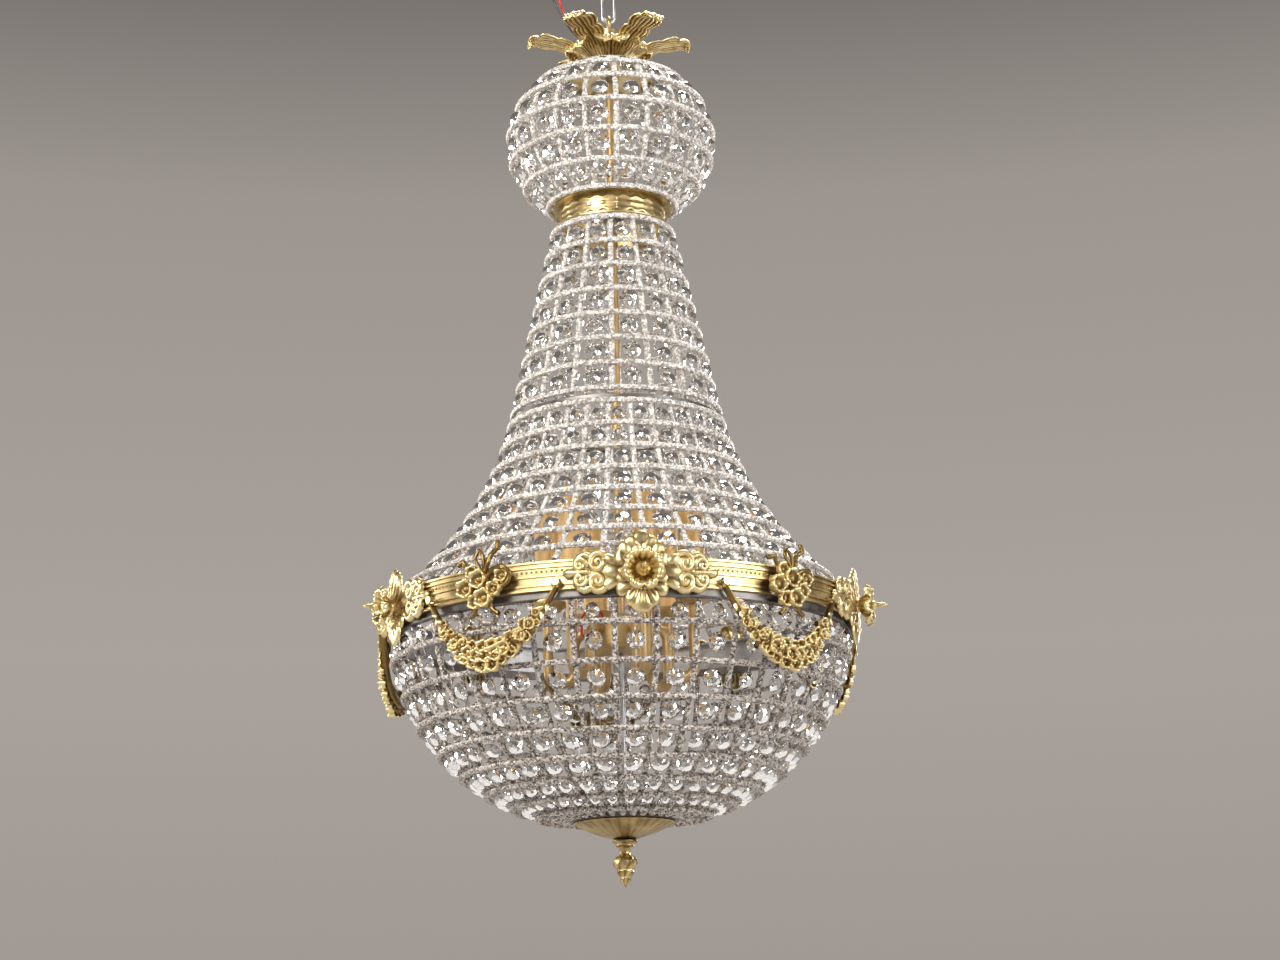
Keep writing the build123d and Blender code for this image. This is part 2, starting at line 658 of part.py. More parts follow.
with BuildPart() as shoulder_hoop:
    with BuildSketch(Plane.XY.offset(Z_SHOULDER_BOTTOM)):
        Circle(FLARE_TOP_RADIUS)
        Circle(FLARE_TOP_RADIUS - SHOULDER_WIDTH, mode=Mode.SUBTRACT)
    extrude(amount=SHOULDER_HEIGHT)
save(shoulder_hoop, "shoulder_hoop")

flare_edges = row_edges(RING_SETBACK, flare_line.length - FLARE_TAIL, FLARE_ROWS, FLARE_TAPER)
rope_rings(flare_line, flare_edges, "flare_rings")
rope_ribs(flare_line, FLARE_RIBS, FLARE_PHASE, "flare_ribs")
crystal_rows(flare_line, flare_edges, FLARE_RIBS, FLARE_PHASE, "flare_crystals")

# ---------------------------------------------------------------- main ring and band

BAND_SCREW_START = RING_RADIUS - RING_WALL - SEAT_GAP / 4
PIN_SPOTS = [BOW_AZIMUTH + number * 360 / ORNAMENTS + side * GARLAND_HALF_ANGLE
             for number in range(ORNAMENTS) for side in (-1, 1)]
Z_PIN = Z_BAND_BOTTOM + PIN_HEIGHT
SCREW_SPOTS = [number * 360 / ORNAMENTS + side for number in range(ORNAMENTS)
               for side in (0, BOW_AZIMUTH)]

with BuildPart() as screw_holes:
    for azimuth in SCREW_SPOTS:
        with BuildSketch(radial_plane(BAND_SCREW_START - BAND_SCREW_LENGTH, azimuth, Z_BAND_MIDDLE)):
            Circle(BAND_SCREW_RADIUS + SLIP_GAP)
        extrude(amount=2 * BAND_SCREW_LENGTH)

with BuildPart() as main_ring:
    with BuildSketch(Plane.XZ):
        with BuildLine():
            Polyline((RING_RADIUS, Z_RING_BOTTOM), (RING_RADIUS, Z_RING_TOP),
                     (RING_RADIUS - RING_FLANGE_WIDTH, Z_RING_TOP),
                     (RING_RADIUS - RING_FLANGE_WIDTH, Z_RING_TOP - RING_FLANGE),
                     (RING_RADIUS - RING_WALL, Z_RING_TOP - RING_FLANGE),
                     (RING_RADIUS - RING_WALL, Z_RING_BOTTOM), close=True)
        make_face()
    revolve(axis=Axis.Z)
    add(screw_holes.part, mode=Mode.SUBTRACT)
save(main_ring, "main_ring")

BAND_IN = RING_RADIUS + SLIP_GAP
BAND_OUT = BAND_IN + BAND_WALL


def band_step(height, proud):
    """The corner points of one raised line on the band, from its lower edge up."""
    return [(BAND_OUT, height), (BAND_OUT + proud, height + 0.2 * FILLET_HEIGHT),
            (BAND_OUT + proud, height + 0.8 * FILLET_HEIGHT), (BAND_OUT, height + FILLET_HEIGHT)]


BAND_LINES = [
    Z_BAND_BOTTOM,
    Z_BAND_BOTTOM + 1.5 * FILLET_HEIGHT,
    Z_BAND_MIDDLE - FILLET_HEIGHT / 2,
    Z_BAND_TOP - 2.5 * FILLET_HEIGHT,
    Z_BAND_TOP - FILLET_HEIGHT,
]
with BuildPart() as main_band:
    with BuildSketch(Plane.XZ):
        with BuildLine():
            corners = [corner for line in BAND_LINES for corner in band_step(line, FILLET_PROUD)]
            Polyline((BAND_IN, Z_BAND_BOTTOM), *corners, (BAND_IN, Z_BAND_TOP), close=True)
        make_face()
    revolve(axis=Axis.Z)
    for azimuth in PIN_SPOTS:
        with BuildSketch(radial_plane(BAND_IN - BAND_WALL, azimuth, Z_PIN)):
            Circle(PIN_RADIUS + SLIP_GAP)
        extrude(amount=BAND_WALL * 4, mode=Mode.SUBTRACT)
    add(screw_holes.part, mode=Mode.SUBTRACT)
save(main_band, "main_band")

# ---------------------------------------------------------------- plaques and rosettes

PLAQUE_IN = BAND_OUT + FILLET_PROUD + SLIP_GAP
PLAQUE_OUT = PLAQUE_IN + PLAQUE_WALL
SCROLL_OFFSETS = [
    (0.40, 0.5, 0.85),
    (0.40, -0.55, 0.8),
    (0.64, 0.55, 1.0),
    (0.64, -0.5, 0.9),
    (0.87, 0.3, 0.9),
    (0.87, -0.3, 0.8),
]

with BuildPart() as plaque_form:
    with BuildSketch(radial_plane(PLAQUE_IN - PLAQUE_HALF_WIDTH / 2, 0, Z_BAND_MIDDLE)):
        Ellipse(CARTOUCHE_HALF_WIDTH, CARTOUCHE_HALF_HEIGHT)
        Rectangle(2 * PLAQUE_HALF_WIDTH * 0.87, PLAQUE_SPINE * 0.7)
        for along, up, size in SCROLL_OFFSETS:
            x = PLAQUE_HALF_WIDTH * along
            y = PLAQUE_SPINE / 2 * up
            with Locations((x, y), (-x, y)):
                Circle(SCROLL_RADIUS * size)
    extrude(amount=PLAQUE_HALF_WIDTH)
    with BuildSketch(Plane.XY.offset(Z_BAND_MIDDLE - CARTOUCHE_HALF_HEIGHT)):
        Circle(PLAQUE_OUT)
        Circle(PLAQUE_IN, mode=Mode.SUBTRACT)
    extrude(amount=2 * CARTOUCHE_HALF_HEIGHT, mode=Mode.INTERSECT)
    add(screw_holes.part, mode=Mode.SUBTRACT)

with BuildPart() as plaques:
    for number in range(ORNAMENTS):
        add(plaque_form.part.rotate(Axis.Z, number * 360 / ORNAMENTS))
save(plaques, "plaques")

ROSETTE_DEPTH = ROSETTE_REACH - PLAQUE_OUT
with BuildPart() as rosette_form:
    foot_out = PLAQUE_OUT + SEAT_GAP / 4
    rim = foot_out + ROSETTE_DEPTH * 0.55
    with BuildSketch(Plane.XZ):
        with BuildLine():
            Polyline((0, foot_out), (ROSETTE_FOOT, foot_out), (ROSETTE_FOOT * 0.7, foot_out + 5),
                     (ROSETTE_RADIUS * 0.8, rim - 5), (ROSETTE_RADIUS, rim),
                     (ROSETTE_RADIUS * 0.7, rim - 2), (SPIKE_RADIUS, rim - 6),
                     (SPIKE_RADIUS, rim - 1), (SPIKE_TIP, ROSETTE_REACH), (0, ROSETTE_REACH), close=True)
        make_face()
    revolve(axis=Axis.Z)
    with BuildSketch(Plane.XY.offset(foot_out - 1)):
        Circle(ROSETTE_RADIUS * 0.62)
        with PolarLocations(ROSETTE_RADIUS * 0.66, ROSETTE_LOBES):
            Circle(ROSETTE_RADIUS * 0.34)
    extrude(amount=ROSETTE_DEPTH + 2, mode=Mode.INTERSECT)

with BuildPart() as rosettes:
    for number in range(ORNAMENTS):
        seat = radial_plane(0, number * 360 / ORNAMENTS, Z_BAND_MIDDLE)
        add(seat.location * rosette_form.part)
save(rosettes, "rosettes")

# ---------------------------------------------------------------- bows

BOW_PLANE_RADIUS = PLAQUE_IN + BOW_RIBBON * 1.6
BOW_LOOPS = [(BOW_SPREAD, -2.0, 1.0), (-BOW_SPREAD, -2.0, 1.0), (BOW_SPREAD * 0.6, 19.0, 0.72),
             (-BOW_SPREAD * 0.6, 19.0, 0.72)]

with BuildPart() as bow_form:
    Sphere(BOW_KNOT)
    for x, y, size in BOW_LOOPS:
        with Locations((x, y, 0)):
            Torus(BOW_LOOP * size - BOW_RIBBON / 2, BOW_RIBBON)
    for side in (-1, 1):
        with BuildLine() as tail:
            FilletPolyline((0, 0, 0), (side * 7, -18, 1), (side * 16, -24, 0), (side * 18, -BOW_TAIL, 1),
                           radius=6)
        with BuildSketch(Plane(tail.line @ 0, z_dir=tail.line % 0)):
            Circle(BOW_RIBBON * 0.8)
        sweep(path=tail.line)

for number in range(ORNAMENTS):
    with BuildPart() as bow:
        azimuth = BOW_AZIMUTH + number * 360 / ORNAMENTS
        add(radial_plane(BOW_PLANE_RADIUS, azimuth, Z_BAND_MIDDLE).location * bow_form.part)
        with BuildSketch(Plane.XY.offset(Z_BAND_MIDDLE - CARTOUCHE_HALF_HEIGHT * 2)):
            Circle(PLAQUE_IN)
        extrude(amount=CARTOUCHE_HALF_HEIGHT * 4, mode=Mode.SUBTRACT)
        add(screw_holes.part, mode=Mode.SUBTRACT)
    save(bow, f"bow_{number + 1}")

with BuildPart() as band_screws:
    for azimuth in SCREW_SPOTS:
        with BuildSketch(radial_plane(BAND_SCREW_START, azimuth, Z_BAND_MIDDLE)):
            Circle(BAND_SCREW_RADIUS)
        extrude(amount=BAND_SCREW_LENGTH - SLIP_GAP)
        with BuildSketch(radial_plane(BAND_SCREW_START, azimuth, Z_BAND_MIDDLE)):
            Circle(BAND_SCREW_HEAD)
        extrude(amount=-BAND_SCREW_HEAD * 0.6)
save(band_screws, "band_screws")

# ---------------------------------------------------------------- garlands and pins

PIN_PLACE = BAND_OUT + FILLET_PROUD
EYELET_MIDDLE = PIN_PLACE + PIN_REACH / 2
Z_EYELET = Z_PIN + PIN_RADIUS + EYELET_GAP - EYELET_HOLE


def garland_point(share):
    """The middle line of a garland, from -1 at one pin to 1 at the other."""
    height = Z_EYELET - EYELET_HOLE - GARLAND_DROP * (1 - share ** 2)
    radius = EYELET_MIDDLE - GARLAND_LEAN * (1 - share ** 2) ** 2
    return spot(radius, share * GARLAND_HALF_ANGLE, height)


def garland_thickness(share):
    """Thin husk stems at the ends, a thick cluster in the middle."""
    return GARLAND_STEM + (GARLAND_BERRY - GARLAND_STEM) * (1 - abs(share)) ** 0.6


with BuildPart() as garland_form:
    stations = 2 * GARLAND_BEADS + 1
    for station in range(stations):
        share = 2 * station / (stations - 1) - 1
        ahead = garland_point(min(1, share + 0.01)) - garland_point(max(-1, share - 0.01))
        with BuildSketch(Plane(garland_point(share), z_dir=ahead)):
            Circle(garland_thickness(share) * (1 if station % 2 else GARLAND_PINCH))
    loft(ruled=True)
    for side in (-1, 1):
        with BuildSketch(radial_plane(EYELET_MIDDLE - EYELET_THICKNESS / 2,
                                      side * GARLAND_HALF_ANGLE, Z_EYELET)):
            Circle(EYELET_HOLE + EYELET_WALL)
        extrude(amount=EYELET_THICKNESS)
        with BuildSketch(radial_plane(EYELET_MIDDLE - EYELET_THICKNESS * 2,
                                      side * GARLAND_HALF_ANGLE, Z_EYELET)):
            Circle(EYELET_HOLE)
        extrude(amount=EYELET_THICKNESS * 4, mode=Mode.SUBTRACT)

for number in range(ORNAMENTS):
    with BuildPart() as garland:
        add(garland_form.part.rotate(Axis.Z, BOW_AZIMUTH + number * 360 / ORNAMENTS))
    save(garland, f"garland_{number + 1}")

with BuildPart() as garland_pins:
    for azimuth in PIN_SPOTS:
        with BuildSketch(radial_plane(BAND_IN + SLIP_GAP, azimuth, Z_PIN)):
            Circle(PIN_RADIUS)
        extrude(amount=PIN_PLACE + PIN_REACH - BAND_IN - SLIP_GAP)
        with BuildSketch(radial_plane(PIN_PLACE + PIN_REACH, azimuth, Z_PIN)):
            Circle(PIN_HEAD)
        extrude(amount=PIN_HEAD * 0.5)
save(garland_pins, "garland_pins")

# ---------------------------------------------------------------- suspension rods

Z_ROD_FOOT = Z_RING_TOP + ROD_RADIUS + CROSS_GAP / 2

with BuildPart() as rod_hub:
    with BuildSketch(Plane.XY.offset(Z_ROD_HUB - ROD_HUB_THICKNESS / 2)):
        Circle(ROD_HUB_RADIUS)
        Circle(STEM_RADIUS + THREAD_GAP, mode=Mode.SUBTRACT)
    extrude(amount=ROD_HUB_THICKNESS)
    fillet(rod_hub.edges().filter_by(GeomType.CIRCLE).sort_by(SortBy.RADIUS)[-2:], ROD_BEND / 8)
save(rod_hub, "rod_hub")

with BuildPart() as rod_form:
    knee = RING_RADIUS - ROD_FOOT
    with BuildLine() as rod_path:
        FilletPolyline((ROD_HUB_RADIUS + SEAT_GAP / 2, 0, Z_ROD_HUB),
                       (ROD_HUB_RADIUS + ROD_BEND * 1.5, 0, Z_ROD_HUB),
                       (knee, 0, Z_ROD_FOOT), (RING_RADIUS - RING_WALL * 2, 0, Z_ROD_FOOT),
                       radius=ROD_BEND)
    with BuildSketch(Plane(rod_path.line @ 0, z_dir=rod_path.line % 0)):
        Circle(ROD_RADIUS)
    sweep(path=rod_path.line)

with BuildPart() as suspension_rods:
    for number in range(ROD_COUNT):
        add(turned(rod_form.part, ROD_AZIMUTH + number * 360 / ROD_COUNT))
save(suspension_rods, "suspension_rods")

# ---------------------------------------------------------------- lamp cluster

Z_ARM = Z_HUB_TOP - HUB_HEIGHT * 0.35
Z_CUP = Z_ARM + CUP_RISE
LAMP_SPOTS = [LAMP_PHASE + number * 360 / LAMP_COUNT for number in range(LAMP_COUNT)]

with BuildPart() as lamp_hub:
    with BuildSketch(Plane.XY.offset(Z_HUB_BOTTOM)):
        Circle(HUB_RADIUS)
    extrude(amount=HUB_HEIGHT)
    fillet(lamp_hub.edges().filter_by(GeomType.CIRCLE), HUB_HEIGHT / 6)
    with BuildSketch(Plane.XY.offset(Z_STEM_BOTTOM)):
        Circle(STEM_RADIUS + THREAD_GAP)
    extrude(amount=HUB_HEIGHT, mode=Mode.SUBTRACT)
    with BuildSketch(Plane.XY.offset(Z_HUB_BOTTOM)):
        Circle(BOTTOM_ROD_RADIUS + THREAD_GAP)
    extrude(amount=HUB_HEIGHT / 3, mode=Mode.SUBTRACT)
save(lamp_hub, "lamp_hub")

with BuildPart() as arm_form:
    Z_DIP = Z_ARM - ARM_DIP
    with BuildLine() as arm_path:
        FilletPolyline((HUB_RADIUS + SEAT_GAP / 2, 0, Z_ARM), (ARM_KNEE, 0, Z_ARM),
                       (ARM_KNEE, 0, Z_DIP), (LAMP_CIRCLE, 0, Z_DIP),
                       (LAMP_CIRCLE, 0, Z_CUP), radius=ARM_BEND)
    with BuildSketch(Plane(arm_path.line @ 0, z_dir=arm_path.line % 0)):
        Circle(ARM_RADIUS)
    sweep(path=arm_path.line)

with BuildPart() as lamp_arms:
    for azimuth in LAMP_SPOTS:
        add(turned(arm_form.part, azimuth))
save(lamp_arms, "lamp_arms")

with BuildPart() as cup_form:
    with BuildSketch(Plane.XZ):
        with BuildLine():
            outside = ThreePointArc((ARM_RADIUS, Z_CUP), (CUP_RADIUS * 0.8, Z_CUP + CUP_HEIGHT * 0.3),
                                    (CUP_RADIUS, Z_CUP + CUP_HEIGHT))
            Polyline(outside @ 1, (0, Z_CUP + CUP_HEIGHT), (0, Z_CUP), outside @ 0)
        make_face()
    revolve(axis=Axis.Z)
    with BuildSketch(Plane.XY.offset(Z_CUP + CUP_FLOOR)):
        Circle(SLEEVE_RADIUS + SLIP_GAP)
    extrude(amount=CUP_HEIGHT, mode=Mode.SUBTRACT)

with BuildPart() as lamp_cups:
    for azimuth in LAMP_SPOTS:
        add(Pos(spot(LAMP_CIRCLE, azimuth, 0)) * cup_form.part)
save(lamp_cups, "lamp_cups")

Z_HOLDER = Z_CUP + CUP_FLOOR
with BuildPart() as lampholders:
    for azimuth in LAMP_SPOTS:
        with BuildSketch(Plane(spot(LAMP_CIRCLE, azimuth, Z_HOLDER))):
            Circle(HOLDER_RADIUS)
        extrude(amount=HOLDER_HEIGHT)
        with BuildSketch(Plane(spot(LAMP_CIRCLE, azimuth, Z_HOLDER + HOLDER_HEIGHT))):
            Circle(HOLDER_BORE)
        extrude(amount=-HOLDER_BORE_DEPTH, mode=Mode.SUBTRACT)
save(lampholders, "lampholders")

with BuildPart() as candle_sleeves:
    for azimuth in LAMP_SPOTS:
        with BuildSketch(Plane(spot(LAMP_CIRCLE, azimuth, Z_HOLDER))):
            Circle(SLEEVE_RADIUS)
            Circle(SLEEVE_RADIUS - SLEEVE_WALL, mode=Mode.SUBTRACT)
        extrude(amount=SLEEVE_HEIGHT)
save(candle_sleeves, "candle_sleeves")

WIRE_OUT = HUB_RADIUS + HUB_WIRE_BOW
with BuildPart() as wire_form:
    add(cord_tube([(HUB_RADIUS * 0.6, 0, Z_HUB_TOP), (HUB_RADIUS * 0.6, 0, Z_HUB_TOP + HUB_WIRE_BOW),
                   (WIRE_OUT, 0, Z_HUB_TOP + HUB_WIRE_BOW), (WIRE_OUT, 0, Z_HUB_TOP - HUB_HEIGHT / 2),
                   (HUB_RADIUS, 0, Z_HUB_TOP - HUB_HEIGHT / 2)], HUB_WIRE_RADIUS, "hub wire"))

with BuildPart() as hub_wires:
    for number in range(HUB_WIRES):
        add(turned(wire_form.part, LAMP_PHASE + HUB_WIRE_OFFSET + number * 360 / HUB_WIRES))
save(hub_wires, "hub_wires")

# ---------------------------------------------------------------- bowl

with BuildPart() as bowl_rim:
    with BuildSketch(Plane.XY.offset(Z_BOWL_RIM)):
        Circle(RING_RADIUS)
        Circle(RING_RADIUS - BOWL_RIM_WIDTH, mode=Mode.SUBTRACT)
    extrude(amount=BOWL_RIM_HEIGHT)
    fillet(bowl_rim.edges().group_by(Axis.Z)[0].sort_by(SortBy.RADIUS)[-1], BOWL_RIM_HEIGHT / 5)
save(bowl_rim, "bowl_rim")

bowl_edges = row_edges(BOWL_FIRST_ROW, bowl_line.length - BOWL_TAIL, BOWL_ROWS, BOWL_TAPER)
rope_rings(bowl_line, bowl_edges, "bowl_rings")
rope_ribs(bowl_line, BOWL_RIBS, BOWL_PHASE, "bowl_ribs")
crystal_rows(bowl_line, [0] + bowl_edges, BOWL_RIBS, BOWL_PHASE, "bowl_crystals")

# ---------------------------------------------------------------- bottom plate, rod, cap and finial

rib_end = rib_point(bowl_line, 1)
PLATE_RADIUS = rib_end.X - ROPE_RADIUS * abs(bowl_line.tangent_at(1).Z) - SEAT_GAP
Z_PLATE = rib_end.Z - BOTTOM_PLATE / 2

with BuildPart() as bottom_plate:
    with BuildSketch(Plane.XY.offset(Z_PLATE)):
        Circle(PLATE_RADIUS)
        Circle(BOTTOM_ROD_RADIUS + THREAD_GAP, mode=Mode.SUBTRACT)
    extrude(amount=BOTTOM_PLATE)
save(bottom_plate, "bottom_plate")

Z_CAP_FOOT = Z_PLATE - CAP_DEPTH
with BuildPart() as bottom_cap:
    with BuildSketch(Plane.XZ):
        with BuildLine():
            dish = ThreePointArc((CAP_RADIUS - CAP_LIP, Z_PLATE - CAP_LIP),
                                 (CAP_RADIUS * 0.62, Z_PLATE - CAP_DEPTH * 0.72),
                                 (CAP_FOOT_RADIUS, Z_CAP_FOOT))
            hollow = ThreePointArc((CAP_RADIUS - CAP_LIP - CAP_WALL, Z_PLATE),
                                   (CAP_RADIUS * 0.62 - CAP_WALL, Z_PLATE - CAP_DEPTH * 0.72 + CAP_WALL),
                                   (CAP_FOOT_RADIUS, Z_CAP_FOOT + CAP_WALL * 1.5))
            Polyline(dish @ 0, (CAP_RADIUS, Z_PLATE - CAP_LIP), (CAP_RADIUS, Z_PLATE), hollow @ 0)
            Polyline(dish @ 1, (BOTTOM_ROD_RADIUS + THREAD_GAP, Z_CAP_FOOT),
                     (BOTTOM_ROD_RADIUS + THREAD_GAP, Z_CAP_FOOT + CAP_WALL * 1.5), hollow @ 1)
        make_face()
    revolve(axis=Axis.Z)
save(bottom_cap, "bottom_cap")

Z_FINIAL_TOP = Z_CAP_FOOT - HANG_GAP
Z_FINIAL_TIP = Z_FINIAL_TOP - FINIAL_LENGTH
Z_BOTTOM_ROD_TOP = Z_HUB_BOTTOM + HUB_HEIGHT / 3 - SEAT_GAP
Z_BOTTOM_ROD_END = Z_FINIAL_TOP - FINIAL_BORE_DEPTH + SEAT_GAP

with BuildPart() as bottom_rod:
    with BuildSketch(Plane.XY.offset(Z_BOTTOM_ROD_END)):
        Circle(BOTTOM_ROD_RADIUS)
    extrude(amount=Z_BOTTOM_ROD_TOP - Z_BOTTOM_ROD_END)
save(bottom_rod, "bottom_rod")

FINIAL_STEPS = [
    (FINIAL_DISC, 0),
    (FINIAL_DISC, 0.06),
    (FINIAL_DISC * 0.8, 0.14),
    (FINIAL_WAIST, 0.22),
    (FINIAL_WAIST, 0.34),
    (FINIAL_BULB * 0.9, 0.42),
    (FINIAL_BULB, 0.50),
    (FINIAL_BULB * 0.62, 0.64),
    (FINIAL_BULB * 0.66, 0.70),
    (FINIAL_BULB * 0.42, 0.80),
    (FINIAL_BULB * 0.44, 0.86),
    (FINIAL_BULB * 0.16, 1),
    (0, 1),
]
with BuildPart() as finial:
    with BuildSketch(Plane.XZ):
        with BuildLine():
            Polyline((0, Z_FINIAL_TOP), *[(radius, Z_FINIAL_TOP - FINIAL_LENGTH * share)
                                          for radius, share in FINIAL_STEPS], close=True)
        make_face()
    revolve(axis=Axis.Z)
    with BuildSketch(Plane.XY.offset(Z_FINIAL_TOP)):
        Circle(BOTTOM_ROD_RADIUS + TURN_GAP)
    extrude(amount=-FINIAL_BORE_DEPTH, mode=Mode.SUBTRACT)
save(finial, "finial")

# ---------------------------------------------------------------- supply leads and their connector

X_EXIT = -WIREWAY_REACH - BUSH_PROUD
BLOCK_X = -58.5
Z_BLOCK = 0.0

LEAD_BLACK = [
    (X_EXIT, -2.5, Z_WIREWAY),
    (X_EXIT - 13, -2.5, Z_WIREWAY),
    (X_EXIT - 28, -3.6, -72),
    (X_EXIT - 39, -4.2, -54),
    (-60.5, -3.6, -36),
    (-60.0, -2.6, -18),
    (-60.0, -2.6, Z_BLOCK),
]
LEAD_RED = [
    (X_EXIT, 2.5, Z_WIREWAY),
    (X_EXIT - 11, 2.5, Z_WIREWAY),
    (X_EXIT - 23, 4.0, -71),
    (X_EXIT - 32, 4.6, -54),
    (-52.8, 4.2, -36),
    (-57.0, 2.6, -18),
    (-57.0, 2.6, Z_BLOCK),
]

with BuildPart() as lead_black:
    add(cord_tube(LEAD_BLACK, LEAD_RADIUS, "lead_black"))
save(lead_black, "lead_black")

with BuildPart() as lead_red:
    add(cord_tube(LEAD_RED, LEAD_RADIUS, "lead_red"))
save(lead_red, "lead_red")

with BuildPart() as connector_block:
    with BuildSketch(Plane((BLOCK_X, 0, Z_BLOCK))):
        RectangleRounded(BLOCK_DEPTH, BLOCK_WIDTH, BLOCK_CORNER)
    extrude(amount=BLOCK_HEIGHT)
    chamfer(connector_block.faces().sort_by(Axis.Z)[-1].edges(), BLOCK_CORNER / 2)
    for side in (-1, 1):
        with BuildSketch(Plane((BLOCK_X - BLOCK_DEPTH / 2, side * BLOCK_WIDTH / 4,
                                Z_BLOCK + BLOCK_HEIGHT / 2), z_dir=(-1, 0, 0))):
            Circle(TERMINAL_TOWER)
            Circle(TERMINAL_TOWER * 0.6, mode=Mode.SUBTRACT)
        extrude(amount=TERMINAL_TOWER / 2)
save(connector_block, "connector_block")
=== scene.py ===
"""Looks of the crystal chandelier: beaded ropes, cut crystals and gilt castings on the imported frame.

Lengths are in millimetres until a mesh is made. Azimuth 0 is the front, -Y, and grows towards +X.
"""

import json
import math

import bpy
import numpy as np
from mathutils import Matrix, Vector


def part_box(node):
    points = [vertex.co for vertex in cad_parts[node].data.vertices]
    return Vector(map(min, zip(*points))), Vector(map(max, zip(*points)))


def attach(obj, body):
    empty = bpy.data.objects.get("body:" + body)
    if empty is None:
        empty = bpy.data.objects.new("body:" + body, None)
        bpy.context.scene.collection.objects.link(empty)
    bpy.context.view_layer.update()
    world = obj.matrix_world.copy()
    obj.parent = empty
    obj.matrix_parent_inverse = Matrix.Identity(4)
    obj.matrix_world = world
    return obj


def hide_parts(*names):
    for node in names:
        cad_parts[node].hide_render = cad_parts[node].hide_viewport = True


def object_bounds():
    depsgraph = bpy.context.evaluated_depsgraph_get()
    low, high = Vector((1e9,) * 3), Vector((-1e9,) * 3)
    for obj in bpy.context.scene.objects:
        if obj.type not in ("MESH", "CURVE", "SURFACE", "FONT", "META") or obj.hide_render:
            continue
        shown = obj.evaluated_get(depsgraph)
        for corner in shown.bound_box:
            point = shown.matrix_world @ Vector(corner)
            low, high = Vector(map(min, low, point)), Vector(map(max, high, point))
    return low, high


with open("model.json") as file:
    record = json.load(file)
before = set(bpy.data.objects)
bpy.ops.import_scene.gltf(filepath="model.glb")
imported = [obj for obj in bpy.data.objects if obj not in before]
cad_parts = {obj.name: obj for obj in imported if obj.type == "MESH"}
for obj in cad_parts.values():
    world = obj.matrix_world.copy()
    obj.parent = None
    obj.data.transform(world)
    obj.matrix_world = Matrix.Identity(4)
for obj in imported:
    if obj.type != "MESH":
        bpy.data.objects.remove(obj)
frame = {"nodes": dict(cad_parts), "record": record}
cad_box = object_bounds()
random = np.random.default_rng(7)
nodes = frame["nodes"]


def box_mm(node):
    """Lowest and highest corner of a CAD node in millimetres."""
    low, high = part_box(node)
    return np.array(low) * 1000, np.array(high) * 1000


# ---------------------------------------------------------------- camera

AXIS_DISTANCE = 2.396      # camera to the stem, level
CAMERA_HEIGHT = -1.195
CAMERA_AZIMUTH = -5.5
CAMERA_PITCH = 14.5
CAMERA_ROLL = -1.3
AXIS_OFFSET = 0.023        # the stem stands this far left of the view's middle

turn = math.radians(CAMERA_AZIMUTH)
forward = Vector((-math.sin(turn), math.cos(turn), 0))
right = Vector((math.cos(turn), math.sin(turn), 0))
camera = bpy.data.objects.new("camera", bpy.data.cameras.new("camera"))
camera.data.lens = 67.5
camera.data.sensor_width = 36
camera.location = right * AXIS_OFFSET - forward * AXIS_DISTANCE + Vector((0, 0, CAMERA_HEIGHT))
camera.rotation_euler = (
    Matrix.Rotation(turn, 3, "Z")
    @ Matrix.Rotation(math.radians(90 + CAMERA_PITCH), 3, "X")
    @ Matrix.Rotation(math.radians(CAMERA_ROLL), 3, "Z")
).to_euler()
bpy.context.scene.collection.objects.link(camera)
bpy.context.scene.camera = camera

# ---------------------------------------------------------------- materials


